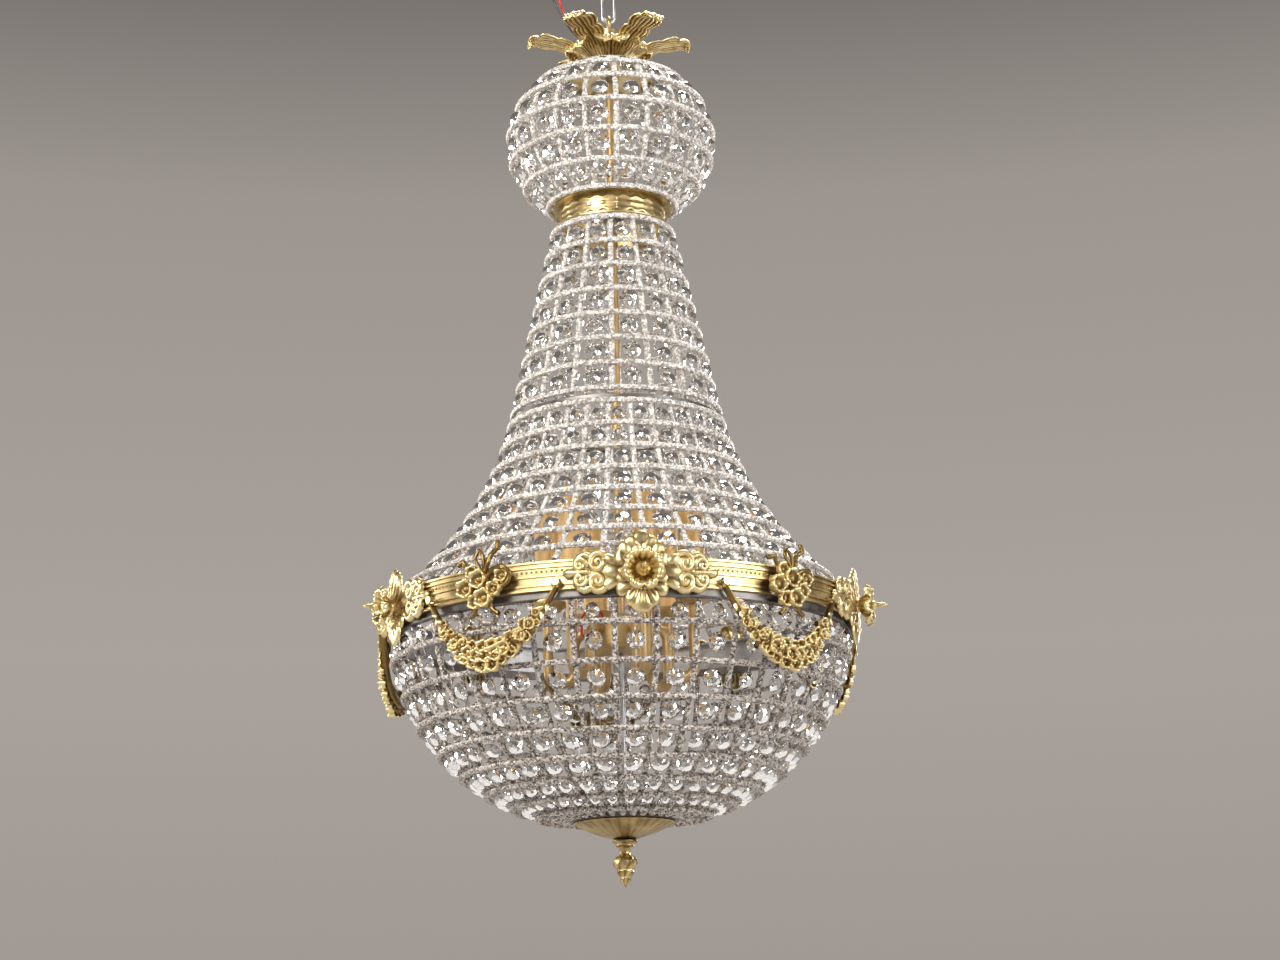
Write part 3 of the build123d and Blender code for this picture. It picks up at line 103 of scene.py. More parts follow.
def finish_of(name, dark, light, scale, rough, metallic=0.0, bump=0.2, cells=False, wear_and_recess_shade=0.0, **inputs):
    """A procedural finish: two tones, uneven gloss and fine bumps, with edges lightened as wear and hollows
    darkened as painted shade.
    """
    material = bpy.data.materials.new(name)
    material.use_nodes = True
    tree = material.node_tree
    shader = tree.nodes["Principled BSDF"]
    shader.inputs["Metallic"].default_value = metallic
    for socket, value in inputs.items():
        shader.inputs[socket.replace("_", " ")].default_value = value
    place = tree.nodes.new("ShaderNodeTexCoord")
    noise = tree.nodes.new("ShaderNodeTexNoise")
    noise.inputs["Scale"].default_value = scale
    noise.inputs["Detail"].default_value = 5
    tree.links.new(place.outputs["Object"], noise.inputs["Vector"])
    tone = noise.outputs["Fac"]
    height = noise.outputs["Fac"]
    if cells:
        grains = tree.nodes.new("ShaderNodeTexVoronoi")
        grains.inputs["Scale"].default_value = cells
        tree.links.new(place.outputs["Object"], grains.inputs["Vector"])
        split = tree.nodes.new("ShaderNodeSeparateColor")
        tree.links.new(grains.outputs["Color"], split.inputs["Color"])
        tone = split.outputs["Red"]
        height = grains.outputs["Distance"]
    # Pointiness lightens sharp edges as wear and darkens hollows as painted shade.
    if wear_and_recess_shade:
        edges = tree.nodes.new("ShaderNodeNewGeometry")
        reach = tree.nodes.new("ShaderNodeMapRange")
        reach.inputs["From Min"].default_value = 0.44
        reach.inputs["From Max"].default_value = 0.56
        reach.inputs["To Min"].default_value = -wear_and_recess_shade
        reach.inputs["To Max"].default_value = wear_and_recess_shade
        tree.links.new(edges.outputs["Pointiness"], reach.inputs["Value"])
        total = tree.nodes.new("ShaderNodeMath")
        total.operation = "ADD"
        total.use_clamp = True
        tree.links.new(tone, total.inputs[0])
        tree.links.new(reach.outputs["Result"], total.inputs[1])
        tone = total.outputs["Value"]
    ramp = tree.nodes.new("ShaderNodeValToRGB")
    ramp.color_ramp.elements[0].position = 0.28
    ramp.color_ramp.elements[0].color = (*dark, 1)
    ramp.color_ramp.elements[1].position = 0.72
    ramp.color_ramp.elements[1].color = (*light, 1)
    tree.links.new(tone, ramp.inputs["Fac"])
    tree.links.new(ramp.outputs["Color"], shader.inputs["Base Color"])
    gloss = tree.nodes.new("ShaderNodeMapRange")
    gloss.inputs["To Min"].default_value = rough * 0.7
    gloss.inputs["To Max"].default_value = min(1, rough * 1.4)
    tree.links.new(noise.outputs["Fac"], gloss.inputs["Value"])
    tree.links.new(gloss.outputs["Result"], shader.inputs["Roughness"])
    ripple = tree.nodes.new("ShaderNodeBump")
    ripple.inputs["Strength"].default_value = bump
    ripple.inputs["Distance"].default_value = 0.0006
    tree.links.new(height, ripple.inputs["Height"])
    tree.links.new(ripple.outputs["Normal"], shader.inputs["Normal"])
    return material


gilt = finish_of("gilt_cast", (0.22, 0.145, 0.05), (0.78, 0.62, 0.32), 90, 0.36, 1.0, 0.10, wear_and_recess_shade=0.4)
gilt_sheet = finish_of("gilt_sheet", (0.34, 0.245, 0.10), (0.70, 0.55, 0.28), 60, 0.36, 1.0, 0.08, wear_and_recess_shade=0.2)
# Darker brass, painted shade for the bottom cap under the bowl.
painted_shade_brass = finish_of("painted_shade_brass", (0.15, 0.095, 0.035), (0.50, 0.37, 0.16), 50, 0.36, 1.0, 0.15, wear_and_recess_shade=0.3)
inner_brass = finish_of("inner_brass", (0.40, 0.26, 0.11), (0.64, 0.46, 0.22), 30, 0.40, 0.7, 0.1)
sleeve_gold = finish_of("sleeve_gold", (0.60, 0.36, 0.13), (0.82, 0.55, 0.24), 22, 0.45, 0.35, 0.15)
steel = finish_of("steel", (0.32, 0.32, 0.33), (0.62, 0.62, 0.63), 90, 0.34, 1.0, 0.15)
# Dark metal for the shoulder hoop and bottom plate, and painted shade on the bowl rim.
dark_steel_and_painted_shade = finish_of("dark_steel_and_painted_shade", (0.10, 0.09, 0.08), (0.26, 0.24, 0.22), 70, 0.42, 1.0, 0.2)
rope_light = finish_of("rope_light", (0.34, 0.30, 0.265), (0.84, 0.79, 0.73), 70, 0.28, 0.2, 0.6, cells=560)
# The rope finish in darker tones: painted shade for the bowl's ropes.
rope_dark = finish_of("rope_dark", (0.12, 0.10, 0.085), (0.60, 0.54, 0.48), 70, 0.28, 0.25, 0.6, cells=560)
crystal_glass = finish_of("crystal_glass", (0.97, 0.975, 0.98), (1, 1, 1), 25, 0.012, 0.0, 0.02,
                          Transmission_Weight=1.0, IOR=1.56)
red_plastic = finish_of("red_plastic", (0.42, 0.012, 0.012), (0.62, 0.03, 0.025), 120, 0.32, bump=0.1)
black_plastic = finish_of("black_plastic", (0.010, 0.010, 0.011), (0.03, 0.03, 0.032), 120, 0.35, bump=0.1)
pale_plastic = finish_of("pale_plastic", (0.66, 0.62, 0.54), (0.80, 0.77, 0.70), 80, 0.42, bump=0.12)

SLOT_FINISHES = {
    "steel": steel,
    "brass_cast": gilt,
    "brass_sheet": gilt_sheet,
    "brass_aged": inner_brass,
    "sleeve_ivory": sleeve_gold,
    "rope_light": rope_light,
    "rope_dark": rope_dark,
    "crystal": crystal_glass,
    "wire_red": red_plastic,
    "wire_black": black_plastic,
    "socket_plastic": pale_plastic,
}
# The bottom cap's darker brass is painted shade.
# The bowl rim is brass; its dark metal is painted shade for its shadowed underside.
NODE_FINISHES = {"bottom_cap": painted_shade_brass, "bowl_rim": dark_steel_and_painted_shade, "shoulder_hoop": dark_steel_and_painted_shade,
                 "ball_top_plate": gilt_sheet, "bottom_plate": dark_steel_and_painted_shade}
slots = {entry["node"]: entry["material_slot"] for entry in frame["record"]["subparts"]}
for name, node in nodes.items():
    finish = NODE_FINISHES.get(name, SLOT_FINISHES[slots[name]])
    for place in node.material_slots:
        place.material = finish

# ---------------------------------------------------------------- supply leads

LEAD_DIAMETER = 2.8
LEADS = {
    "lead_black": (black_plastic, 108.5, [
        (-15, -2.5, -85.4), (-28, -2.5, -85.4), (-43, -3.6, -72), (-54, -4.2, -54),
        (-60.5, -3.6, -36), (-60, -2.6, -18), (-60, -2.6, 0)]),
    "lead_red": (red_plastic, 103.7, [
        (-15, 2.5, -85.4), (-26, 2.5, -85.4), (-38, 4, -71), (-47, 4.6, -54),
        (-52.8, 4.2, -36), (-57, 2.6, -18), (-57, 2.6, 0)]),
}
for name, (finish, length, route) in LEADS.items():
    curve = bpy.data.curves.new(name + "_line", "CURVE")
    curve.dimensions = "3D"
    curve.bevel_depth = LEAD_DIAMETER / 2000
    curve.bevel_resolution = 5
    curve.use_fill_caps = True
    spline = curve.splines.new("NURBS")
    spline.points.add(len(route) - 1)
    for point, spot in zip(spline.points, route):
        point.co = (*[value / 1000 for value in spot], 1)
    spline.order_u = 3
    spline.use_endpoint_u = True
    spline.resolution_u = 12
    lead = bpy.data.objects.new(name + "_line", curve)
    lead.data.materials.append(finish)
    bpy.context.scene.collection.objects.link(lead)
    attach(lead, "chandelier")
    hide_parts(name)

# ---------------------------------------------------------------- mesh helpers


def on_cylinder(x, y, depth, radius, azimuth, middle):
    """Points of a plate bent round the axis: x along the bend, y up, depth outwards."""
    angle = np.radians(azimuth) + x / radius
    reach = radius + depth
    return np.stack([reach * np.sin(angle), -reach * np.cos(angle), middle + y + 0 * x], axis=-1)


def on_plane(x, y, depth, radius, azimuth, middle):
    """Points in a flat frame that faces outwards at an azimuth."""
    angle = math.radians(azimuth)
    out = np.array([math.sin(angle), -math.cos(angle), 0])
    side = np.array([math.cos(angle), math.sin(angle), 0])
    x, y, depth = np.broadcast_arrays(x, y, depth)
    return (x[..., None] * side + (radius + depth)[..., None] * out
            + (y + middle)[..., None] * np.array([0, 0, 1.0]))


class Piece:
    """Gathers grids and facets, and makes them one mesh."""

    def __init__(self):
        self.points = []
        self.faces = []
        self.finishes = []
        self.count = 0

    def facets(self, points, faces, finish=0):
        self.points.append(points)
        self.faces += [tuple(index + self.count for index in face) for face in faces]
        self.finishes += [finish] * len(faces)
        self.count += len(points)

    def grid(self, points, around=False, keep=None, finish=0):
        """Quads over a grid of points. around joins its last column to its first."""
        rows, columns = points.shape[:2]
        index = np.arange(rows * columns).reshape(rows, columns)
        after = np.roll(index, -1, axis=1) if around else index[:, 1:]
        here = index if around else index[:, :-1]
        quads = np.stack([here[:-1], after[:-1], after[1:], here[1:]], axis=-1).reshape(-1, 4)
        if keep is not None:
            quads = quads[keep.reshape(-1)]
        self.facets(points.reshape(-1, 3), quads.tolist(), finish)

    def make(self, name, materials, body, replaced=(), smooth=True, thick=0.0):
        mesh = bpy.data.meshes.new(name)
        mesh.from_pydata((np.concatenate(self.points) / 1000).tolist(), [], self.faces)
        for material in materials:
            mesh.materials.append(material)
        mesh.polygons.foreach_set("material_index", self.finishes)
        mesh.polygons.foreach_set("use_smooth", [smooth] * len(mesh.polygons))
        mesh.validate()
        made = bpy.data.objects.new(name, mesh)
        bpy.context.scene.collection.objects.link(made)
        if thick:
            shell = made.modifiers.new("thickness", "SOLIDIFY")
            shell.thickness = thick / 1000
            shell.offset = -1
        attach(made, body)
        if replaced:
            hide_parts(*replaced)
        return made


def lathe(profile, sides=48, ripple=None):
    """Points of a turned form from (radius, height) pairs. ripple(angle, row share) scales the radius."""
    profile = np.array(profile, float)
    angle = np.linspace(0, 2 * np.pi, sides, endpoint=False)
    share = np.linspace(0, 1, len(profile))
    scale = 1 if ripple is None else ripple(angle[None, :], share[:, None])
    radius = profile[:, :1] * scale
    return np.stack([radius * np.sin(angle), -radius * np.cos(angle),
                     np.broadcast_to(profile[:, 1:], radius.shape if np.ndim(scale) else
                                     (len(profile), sides))], axis=-1)


def smooth_rows(points, rows):
    """More rows on a smooth line through (radius, height) pairs."""
    points = np.array(points, float)
    share = np.linspace(0, 1, len(points))
    wanted = np.linspace(0, 1, rows)
    line = np.stack([np.interp(wanted, share, points[:, 0]), np.interp(wanted, share, points[:, 1])], axis=-1)
    for _ in range(2):
        line[1:-1] = (line[:-2] + 2 * line[1:-1] + line[2:]) / 4
    return line


def tube(path, widths, thick, sides=8, out=None, closed=False):
    """Points of a flattened tube along a path in a flat frame. widths vary along it."""
    path = np.array(path, float)
    ahead = (np.roll(path, -1, 0) - np.roll(path, 1, 0)) if closed else np.gradient(path, axis=0)
    ahead /= np.linalg.norm(ahead, axis=1)[:, None]
    out = np.array([0, 0, 1.0]) if out is None else out
    side = np.cross(ahead, out)
    side /= np.linalg.norm(side, axis=1)[:, None]
    up = np.cross(side, ahead)
    angle = np.linspace(0, 2 * np.pi, sides, endpoint=False)
    widths = np.broadcast_to(widths, len(path))[:, None, None]
    ring = (np.cos(angle)[None, :, None] * side[:, None] * widths
            + np.sin(angle)[None, :, None] * up[:, None] * thick)
    return path[:, None] + ring


# ---------------------------------------------------------------- ropes and crystals

ROPE_RADIUS = 2.3
ROPE_FULLNESS = 3.35        # with the beads that stand out of the strands
CROSS_OFFSET = 2.4
LAY = 9.5                  # one turn of a rope's two strands
BEAD = 2.1
STEP = 1.05
ROPE_SIDES = 8


class Cage:
    """One cage's outline: an arc of radius and height, hung at the top of its CAD ribs."""

    def __init__(self, name, top, middle, drop, bottom, height, ribs, phase):
        self.name = name
        self.ribs = ribs
        self.phase = phase
        a, b, c = (np.array(p, float) for p in ((top, 0), (middle, -drop), (bottom, -height)))
        matrix = 2 * np.array([b - a, c - a])
        self.centre = np.linalg.solve(matrix, [b @ b - a @ a, c @ c - a @ a])
        self.size = np.linalg.norm(a - self.centre)
        self.start, middle_angle, end = (math.atan2(*(p - self.centre)[::-1]) for p in (a, b, c))
        self.sweep = (end - self.start + math.pi) % (2 * math.pi) - math.pi
        bend = (middle_angle - self.start + math.pi) % (2 * math.pi) - math.pi
        if self.sweep * bend < 0:
            self.sweep -= math.copysign(2 * math.pi, self.sweep)
        self.length = self.size * abs(self.sweep)
        self.lift = 0.0
        rib_top = self.point(0, -CROSS_OFFSET)[1] + ROPE_RADIUS * abs(self.tangent(0)[0])
        self.lift = box_mm(name + "_ribs")[1][2] - rib_top

    def tangent(self, at):
        angle = self.start + self.sweep * at
        return np.array([-math.sin(angle), math.cos(angle)]) * math.copysign(1, self.sweep)

    def outward(self, at):
        tangent = self.tangent(at)
        return np.array([-tangent[1], tangent[0]])

    def point(self, at, offset=0.0):
        angle = self.start + self.sweep * at
        arc = self.centre + self.size * np.array([math.cos(angle), math.sin(angle)])
        return arc + self.outward(at) * offset + np.array([0, self.lift])


def rope_section(along, angle):
    """Radius of a rope of two twisted strands of small beads."""
    strand = np.abs(np.cos(angle + np.pi * along / LAY)) ** 0.8
    bead = 0.5 + 0.5 * np.cos(2 * np.pi * along / BEAD + 2 * angle)
    uneven = random.normal(0, 0.05, np.broadcast(along, angle).shape)
    return ROPE_FULLNESS * np.clip((0.78 + 0.22 * strand) * (1 - 0.15 * bead) + uneven, 0.5, 1)


section_angle = np.linspace(0, 2 * np.pi, ROPE_SIDES, endpoint=False)[None, :]


def add_ring(piece, radius, height):
    """A beaded rope hoop."""
    laps = round(2 * np.pi * radius / LAY)
    steps = round(2 * np.pi * radius / STEP)
    around = np.linspace(0, 2 * np.pi, steps + 1)[:, None]
    thickness = rope_section(around / (2 * np.pi) * laps * LAY, section_angle)
    thickness[-1] = thickness[0] if laps % 2 == 0 else np.roll(thickness[0], ROPE_SIDES // 2)
    reach = radius + thickness * np.cos(section_angle)
    piece.grid(np.stack([reach * np.sin(around), -reach * np.cos(around),
                         height + thickness * np.sin(section_angle)], axis=-1), around=True)


def add_rib(piece, cage, azimuth):
    """A beaded rope down a cage's outline."""
    steps = round(cage.length / STEP)
    shares = np.linspace(0, 1, steps)
    middle = np.array([cage.point(at, -CROSS_OFFSET) for at in shares])
    out = np.array([cage.outward(at) for at in shares])
    thickness = rope_section(shares[:, None] * cage.length, section_angle)
    radial = middle[:, :1] + out[:, :1] * thickness * np.cos(section_angle)
    height = middle[:, 1:] + out[:, 1:] * thickness * np.cos(section_angle)
    lateral = thickness * np.sin(section_angle)
    turn = math.radians(azimuth)
    piece.grid(np.stack([radial * math.sin(turn) + lateral * math.cos(turn),
                         -radial * math.cos(turn) + lateral * math.sin(turn), height], axis=-1), around=True)


def row_edges(first, length, rows, taper):
    """Distances down a cage of rows whose pitch changes steadily."""
    weights = np.array([1 + taper * (0.5 - row / (rows - 1)) for row in range(rows)])
    return [first, *(first + (length - first) * np.cumsum(weights) / weights.sum())]


def cut_crystal(radius, slope):
    """Corners and facets of a double-sided cut crystal in its own frame."""
    points = []
    for side in (1, -1):
        table = 0.3 + slope
        rings = [(8, 0.44, table, 0), (8, 0.74, 0.3 + slope * 0.58, 0.5), (16, 1.0, 0.3, 0)]
        for count, share, height, shift in rings:
            for number in range(count):
                angle = 2 * math.pi * (number + shift) / count
                points.append((radius * share * math.cos(angle), radius * share * math.sin(angle),
                               side * height))
    faces = []
    for base, flip in ((0, False), (32, True)):
        made = [tuple(base + k for k in range(8))]
        for k in range(8):
            after = (k + 1) % 8
            table, table_after = base + k, base + after
            star, star_before = base + 8 + k, base + 8 + (k - 1) % 8
            girdle = [base + 16 + (2 * k + shift) % 16 for shift in (-1, 0, 1, 2)]
            made += [(table, star, table_after), (table, star_before, girdle[1], star),
                     (star, girdle[1], girdle[2]), (star, girdle[2], girdle[3])]
        faces += [tuple(reversed(face)) if flip else face for face in made]
    faces += [(16 + k, 48 + k, 48 + (k + 1) % 16, 16 + (k + 1) % 16) for k in range(16)]
    return np.array(points), faces


def add_crystals(piece, cage, edges):
    """Crystals in the cells of a cage, each turned a little on its wire."""
    for upper, lower in zip(edges, edges[1:]):
        at = (upper + lower) / 2 / cage.length
        centre, down, out = cage.point(at), cage.tangent(at), cage.outward(at)
        reach = (lower - upper) / 2 - 1.2
        radius = min(9.0, math.pi * centre[0] / cage.ribs - ROPE_RADIUS - 1.2, reach - 2.2)
        slope = min(4.2, radius * 0.55)
        points, faces = cut_crystal(radius, slope)
        wire = np.array([(0.45 * math.cos(a), y, 0.45 * math.sin(a)) for y in (-reach, -radius * 0.96,
                         radius * 0.96, reach) for a in np.linspace(0, 2 * math.pi, 6, endpoint=False)])
        for number in range(cage.ribs):
            azimuth = math.radians(cage.phase + (number + 0.5) * 360 / cage.ribs)
            radial = np.array([math.sin(azimuth), -math.cos(azimuth), 0])
            side = np.array([math.cos(azimuth), math.sin(azimuth), 0])
            up = np.array([0, 0, 1.0])
            frame_rows = np.array([side, radial * down[0] + up * down[1], radial * out[0] + up * out[1]])
            tilt = math.radians(random.uniform(-16, 16))
            spin = random.uniform(0, math.pi / 4)
            lean = np.array([[math.cos(tilt), 0, -math.sin(tilt)], [0, 1, 0],
                             [math.sin(tilt), 0, math.cos(tilt)]])
            turned = points @ np.array([[math.cos(spin), math.sin(spin), 0],
                                        [-math.sin(spin), math.cos(spin), 0], [0, 0, 1]]) @ lean
            origin = radial * centre[0] + up * centre[1]
            piece.facets(turned @ frame_rows + origin, faces)
            placed = wire @ frame_rows + origin
            for half in (placed[:12], placed[12:]):
                piece.grid(half.reshape(2, 6, 3), around=True, finish=1)


CAGES = [
    (Cage("ball", 46, 107, 74.5, 62, 149, 20, -1.5), 6, 0.0, 5.0, 5.0),
    (Cage("neck", 60, 83.5, 104, 106, 208, 16, -7), 7, 0.0, 5.0, 5.0),
    (Cage("flare", 107.5, 138.5, 80, 229, 189, 32, -9), 7, -0.18, 5.0, 19.0),
    (Cage("bowl", 230.5, 188, 105, 55, 180, 36, -6.4), 7, 0.28, 21.0, 31.0),
]
for cage, rows, taper, first, tail in CAGES:
    # The bowl's ropes take the darker rope tones as painted shade.
    finish = rope_dark if cage.name == "bowl" else rope_light
    edges = row_edges(first, cage.length - tail, rows, taper)
    rings = Piece()
    for edge in edges:
        add_ring(rings, *cage.point(edge / cage.length, CROSS_OFFSET))
    rings.make(cage.name + "_ring_ropes", [finish], "chandelier", [cage.name + "_rings"], smooth=False)
    ribs = Piece()
    for number in range(cage.ribs):
        add_rib(ribs, cage, cage.phase + number * 360 / cage.ribs)
    ribs.make(cage.name + "_rib_ropes", [finish], "chandelier", [cage.name + "_ribs"], smooth=False)
    drops = Piece()
    add_crystals(drops, cage, ([0] if cage.name == "bowl" else []) + edges)
    drops.make(cage.name + "_cut_crystals", [crystal_glass, steel], "chandelier",
               [cage.name + "_crystals"], smooth=False)

# ---------------------------------------------------------------- crown of leaves

CROWN_FLOOR = box_mm("crown")[0][2] + 2.4
LEAF_LINE = [(13, 0), (18, 11), (27, 21), (40, 28), (55, 33), (70, 36.5), (82, 37), (86.5, 33)]
LEAF_REACH = 86.8
LEAF_HEIGHTS = (-2, 47)
LEAF_WIDTHS = [7.5, 10, 13, 16, 18.5, 18, 12, 3]
FAN_LINE = [(12, 0), (16, 9), (22, 17), (29, 23.5), (35, 27), (39, 28), (41, 26), (41.5, 22)]
FAN_WIDTHS = [6, 10, 14, 17, 19, 19, 16, 9]


def leaf(azimuth, line, widths, lobes, seed):
    """A leaf: flutes that fan out from its foot, lobed edges, a raised midrib and a curled tip."""
    rows, columns = 46, 33
    line = smooth_rows(line, rows)
    share = np.linspace(0, 1, rows)[:, None]
    across = np.linspace(-1, 1, columns)[None, :]
    notch = np.abs(np.sin(np.pi * (share * lobes + 0.1))) ** 0.6
    outline = np.interp(share, np.linspace(0, 1, len(widths)), widths) * (0.66 + 0.34 * notch)
    flutes = 1.5 * np.cos(np.pi * 7 * across) * np.sqrt(share)
    cup = 6.0 * across ** 2 * (1 - 1.3 * share) + flutes + 2.0 * np.exp(-(across / 0.10) ** 2)
    slope = np.gradient(line, axis=0)
    slope /= np.linalg.norm(slope, axis=1)[:, None]
    swept = np.abs(across) * 5 * notch * share
    radial = np.minimum(line[:, :1] + slope[:, :1] * swept - slope[:, 1:] * cup * 0.6, LEAF_REACH)
    height = line[:, 1:] + slope[:, 1:] * swept + slope[:, :1] * cup * 0.6
    lateral = across * outline + math.sin(seed * 2.1) * 1.5 * share
    turn = math.radians(azimuth)
    return np.stack([radial * math.sin(turn) + lateral * math.cos(turn),
                     -radial * math.cos(turn) + lateral * math.sin(turn),
                     CROWN_FLOOR + np.clip(height, *LEAF_HEIGHTS)], axis=-1)


crown = Piece()
for number in range(6):
    crown.grid(leaf(30 + number * 60, LEAF_LINE, LEAF_WIDTHS, 5, number))
    crown.grid(leaf(number * 60, FAN_LINE, FAN_WIDTHS, 2, number))
CUP_LINE = [(22, -2.3), (22, -1), (12, 0.2), (12.6, 3), (14, 6), (15.5, 8.5), (17, 10.5), (18, 11.5)]
crown.grid(lathe(smooth_rows(CUP_LINE, 26), 120,
                 lambda angle, share: 1 + 0.03 * np.cos(12 * angle) * np.minimum(1, share * 3)), around=True)
crown.grid(lathe([(17, 9), (14, 3), (10, 1.2), (5.5, 1.2)], 60), around=True)
crown.points[-2:] = [points + np.array([0, 0, CROWN_FLOOR]) for points in crown.points[-2:]]
crown.make("leaf_crown", [gilt], "chandelier", ["crown"], thick=1.5)

# ---------------------------------------------------------------- collar band

collar_low, collar_high = box_mm("collar_band")
COLLAR_INSIDE = 54.7
x = np.linspace(0, 2 * np.pi * COLLAR_INSIDE, 481)[None, :]
y = np.linspace(-1, 1, 17)[:, None]
scallop = 2 * np.pi * COLLAR_INSIDE / 24
edge = 10 - 2.6 * np.abs(np.cos(np.pi * x / scallop)) ** 3
relief = (0.9 * np.exp(-((np.abs(y) - 0.72) / 0.10) ** 2) + 0.5 * np.exp(-(y / 0.16) ** 2)
          + 0.8 * np.exp(-((y / 0.20) ** 2 + (((x + scallop / 2) % scallop - scallop / 2) / 2.2) ** 2)))
collar = Piece()
collar.grid(on_cylinder(x + 0 * y, y * edge, 0.75 + relief * 0.8 + 0 * x, COLLAR_INSIDE, 0,
                        (collar_low[2] + collar_high[2]) / 2))
collar.make("scalloped_collar", [gilt_sheet], "chandelier", ["collar_band"], thick=0.7)

# ---------------------------------------------------------------- plaques

BAND_MIDDLE = (box_mm("main_band")[0][2] + box_mm("main_band")[1][2]) / 2
PLAQUE_IN = 237.5
PLAQUE_SHARE = 0.88      # width of a plaque over that of its drawn outline
ORNAMENTS = 5
ORNAMENT_STEP = 360 / ORNAMENTS


def dome(x, y, at, size, height, tilt=0.0):
    """An oval swelling, and below zero outside its outline."""
    c, s = math.cos(tilt), math.sin(tilt)
    u = ((x - at[0]) * c + (y - at[1]) * s) / size[0]
    v = ((y - at[1]) * c - (x - at[0]) * s) / size[1]
    inside = 1 - u ** 2 - v ** 2
    return np.where(inside > 0, height * np.sqrt(np.abs(inside)), inside * min(size) * 0.5)


def stroke(x, y, line, width, height):
    """A raised cord along a line, and below zero outside it."""
    distance = np.full(x.shape, 1e9)
    for start, end in zip(line, line[1:]):
        start, end = np.array(start, float), np.array(end, float)
        way = end - start
        share = np.clip(((x - start[0]) * way[0] + (y - start[1]) * way[1]) / (way @ way), 0, 1)
        off = np.hypot(x - start[0] - share * way[0], y - start[1] - share * way[1])
        distance = np.minimum(distance, off)
    inside = 1 - (distance / width) ** 2
    return np.where(inside > 0, height * np.sqrt(np.abs(inside)), width - distance)


def volute(middle, radius, start, turns):
    """Points of a scroll that winds in to its middle."""
    share = np.linspace(0, 1, 40)
    angle = start + turns * 2 * np.pi * share
    reach = radius * (1 - 0.88 * share)
    return [(middle[0] + r * math.cos(a), middle[1] + r * math.sin(a)) for a, r in zip(angle, reach)]


def plaque_relief(x, y):
    """Height of a plaque over its back, below zero outside its outline. Both halves are alike."""
    x = np.abs(x)
    up = np.abs(y)
    forms = [
        dome(x, y, (0, 4), (23.5, 27), 2.8),
        np.minimum(np.minimum(13 - up, 71 - x), 1.6),
        dome(x, y, (0, -27), (12.5, 11), 3.2),
        dome(x, y, (9.5, -24), (7.5, 8.5), 3.0, 0.6),
        dome(x, y, (0, 31.5), (8.5, 6.3), 3.0),
        dome(x, y, (10.5, 27), (7.5, 6), 2.8, -0.5),
        dome(x, y, (17.5, 21), (7.3, 7), 2.8, -0.9),
        dome(x, y, (22, 12), (5.5, 9), 2.7),
        dome(x, y, (22.5, -3), (5.5, 9), 2.7),
        dome(x, y, (19, -15.5), (6.5, 8), 2.8, 0.9),
        dome(x, y, (31, 0), (9, 6.2), 3.4),
        dome(x, y, (33, 11), (8, 4.4), 3.2, 0.5),
        dome(x, y, (33, -11), (8, 4.4), 3.2, -0.5),
        stroke(x, y, volute((46, 8.5), 10.0, math.pi * 0.75, -1.35), 2.3, 3.8),
        stroke(x, y, volute((46, -8.5), 10.0, -math.pi * 0.75, 1.35), 2.3, 3.8),
        dome(x, y, (46, 8.5), (2.6, 2.6), 3.4),
        dome(x, y, (46, -8.5), (2.6, 2.6), 3.4),
        stroke(x, y, volute((64.5, 6.6), 7.4, math.pi, -1.2), 2.1, 3.8),
        stroke(x, y, volute((64.5, -6.6), 7.4, -math.pi, 1.2), 2.1, 3.8),
        stroke(x, y, [(55, 15), (60, 16.5), (66, 14)], 2.6, 3.4),
        stroke(x, y, [(55, -15), (60, -16.5), (66, -14)], 2.6, 3.4),
        dome(x, y, (76, 0), (6, 3.6), 3.0),
        stroke(x, y, [(56, 0), (76, 0)], 2.4, 3.2),
    ]
    raised = np.max(forms, axis=0)
    fan = np.arctan2(y + 8, x + 1e-6)
    furrows = 1.0 * np.cos(fan * 18) * np.clip(dome(x, y, (0, 2), (25, 34), 1.0), 0, 1)
    return np.where(raised > 0, raised + furrows * (raised > 1.5), raised)


def plaque(azimuth):
    """The plate's grid, with its outer corners drawn in to its outline."""
    step = 1.0
    x, y = np.meshgrid(np.arange(-82, 82.01, step), np.arange(-38, 38.01, step))
    value = plaque_relief(x / PLAQUE_SHARE, y)
    rise, run = np.gradient(value, step)
    slope = np.maximum(np.hypot(rise, run), 0.3)
    shift = np.where(value < 0, np.clip(-value / slope, 0, 1.2 * step), 0)
    x_moved = x + shift * run / slope
    y_moved = y + shift * rise / slope
    inside = value > 0
    keep = inside[:-1, :-1] | inside[1:, :-1] | inside[:-1, 1:] | inside[1:, 1:]
    depth = 0.7 + np.clip(value, 0, 6)
    return on_cylinder(x_moved, y_moved, depth, PLAQUE_IN, azimuth, BAND_MIDDLE), keep


plates = Piece()
for number in range(ORNAMENTS):
    points, keep = plaque(number * ORNAMENT_STEP)
    plates.grid(points[:, ::-1], keep=keep[:, ::-1])
plates.make("cartouches", [gilt], "chandelier", ["plaques"], thick=1.1)

# ---------------------------------------------------------------- rosettes

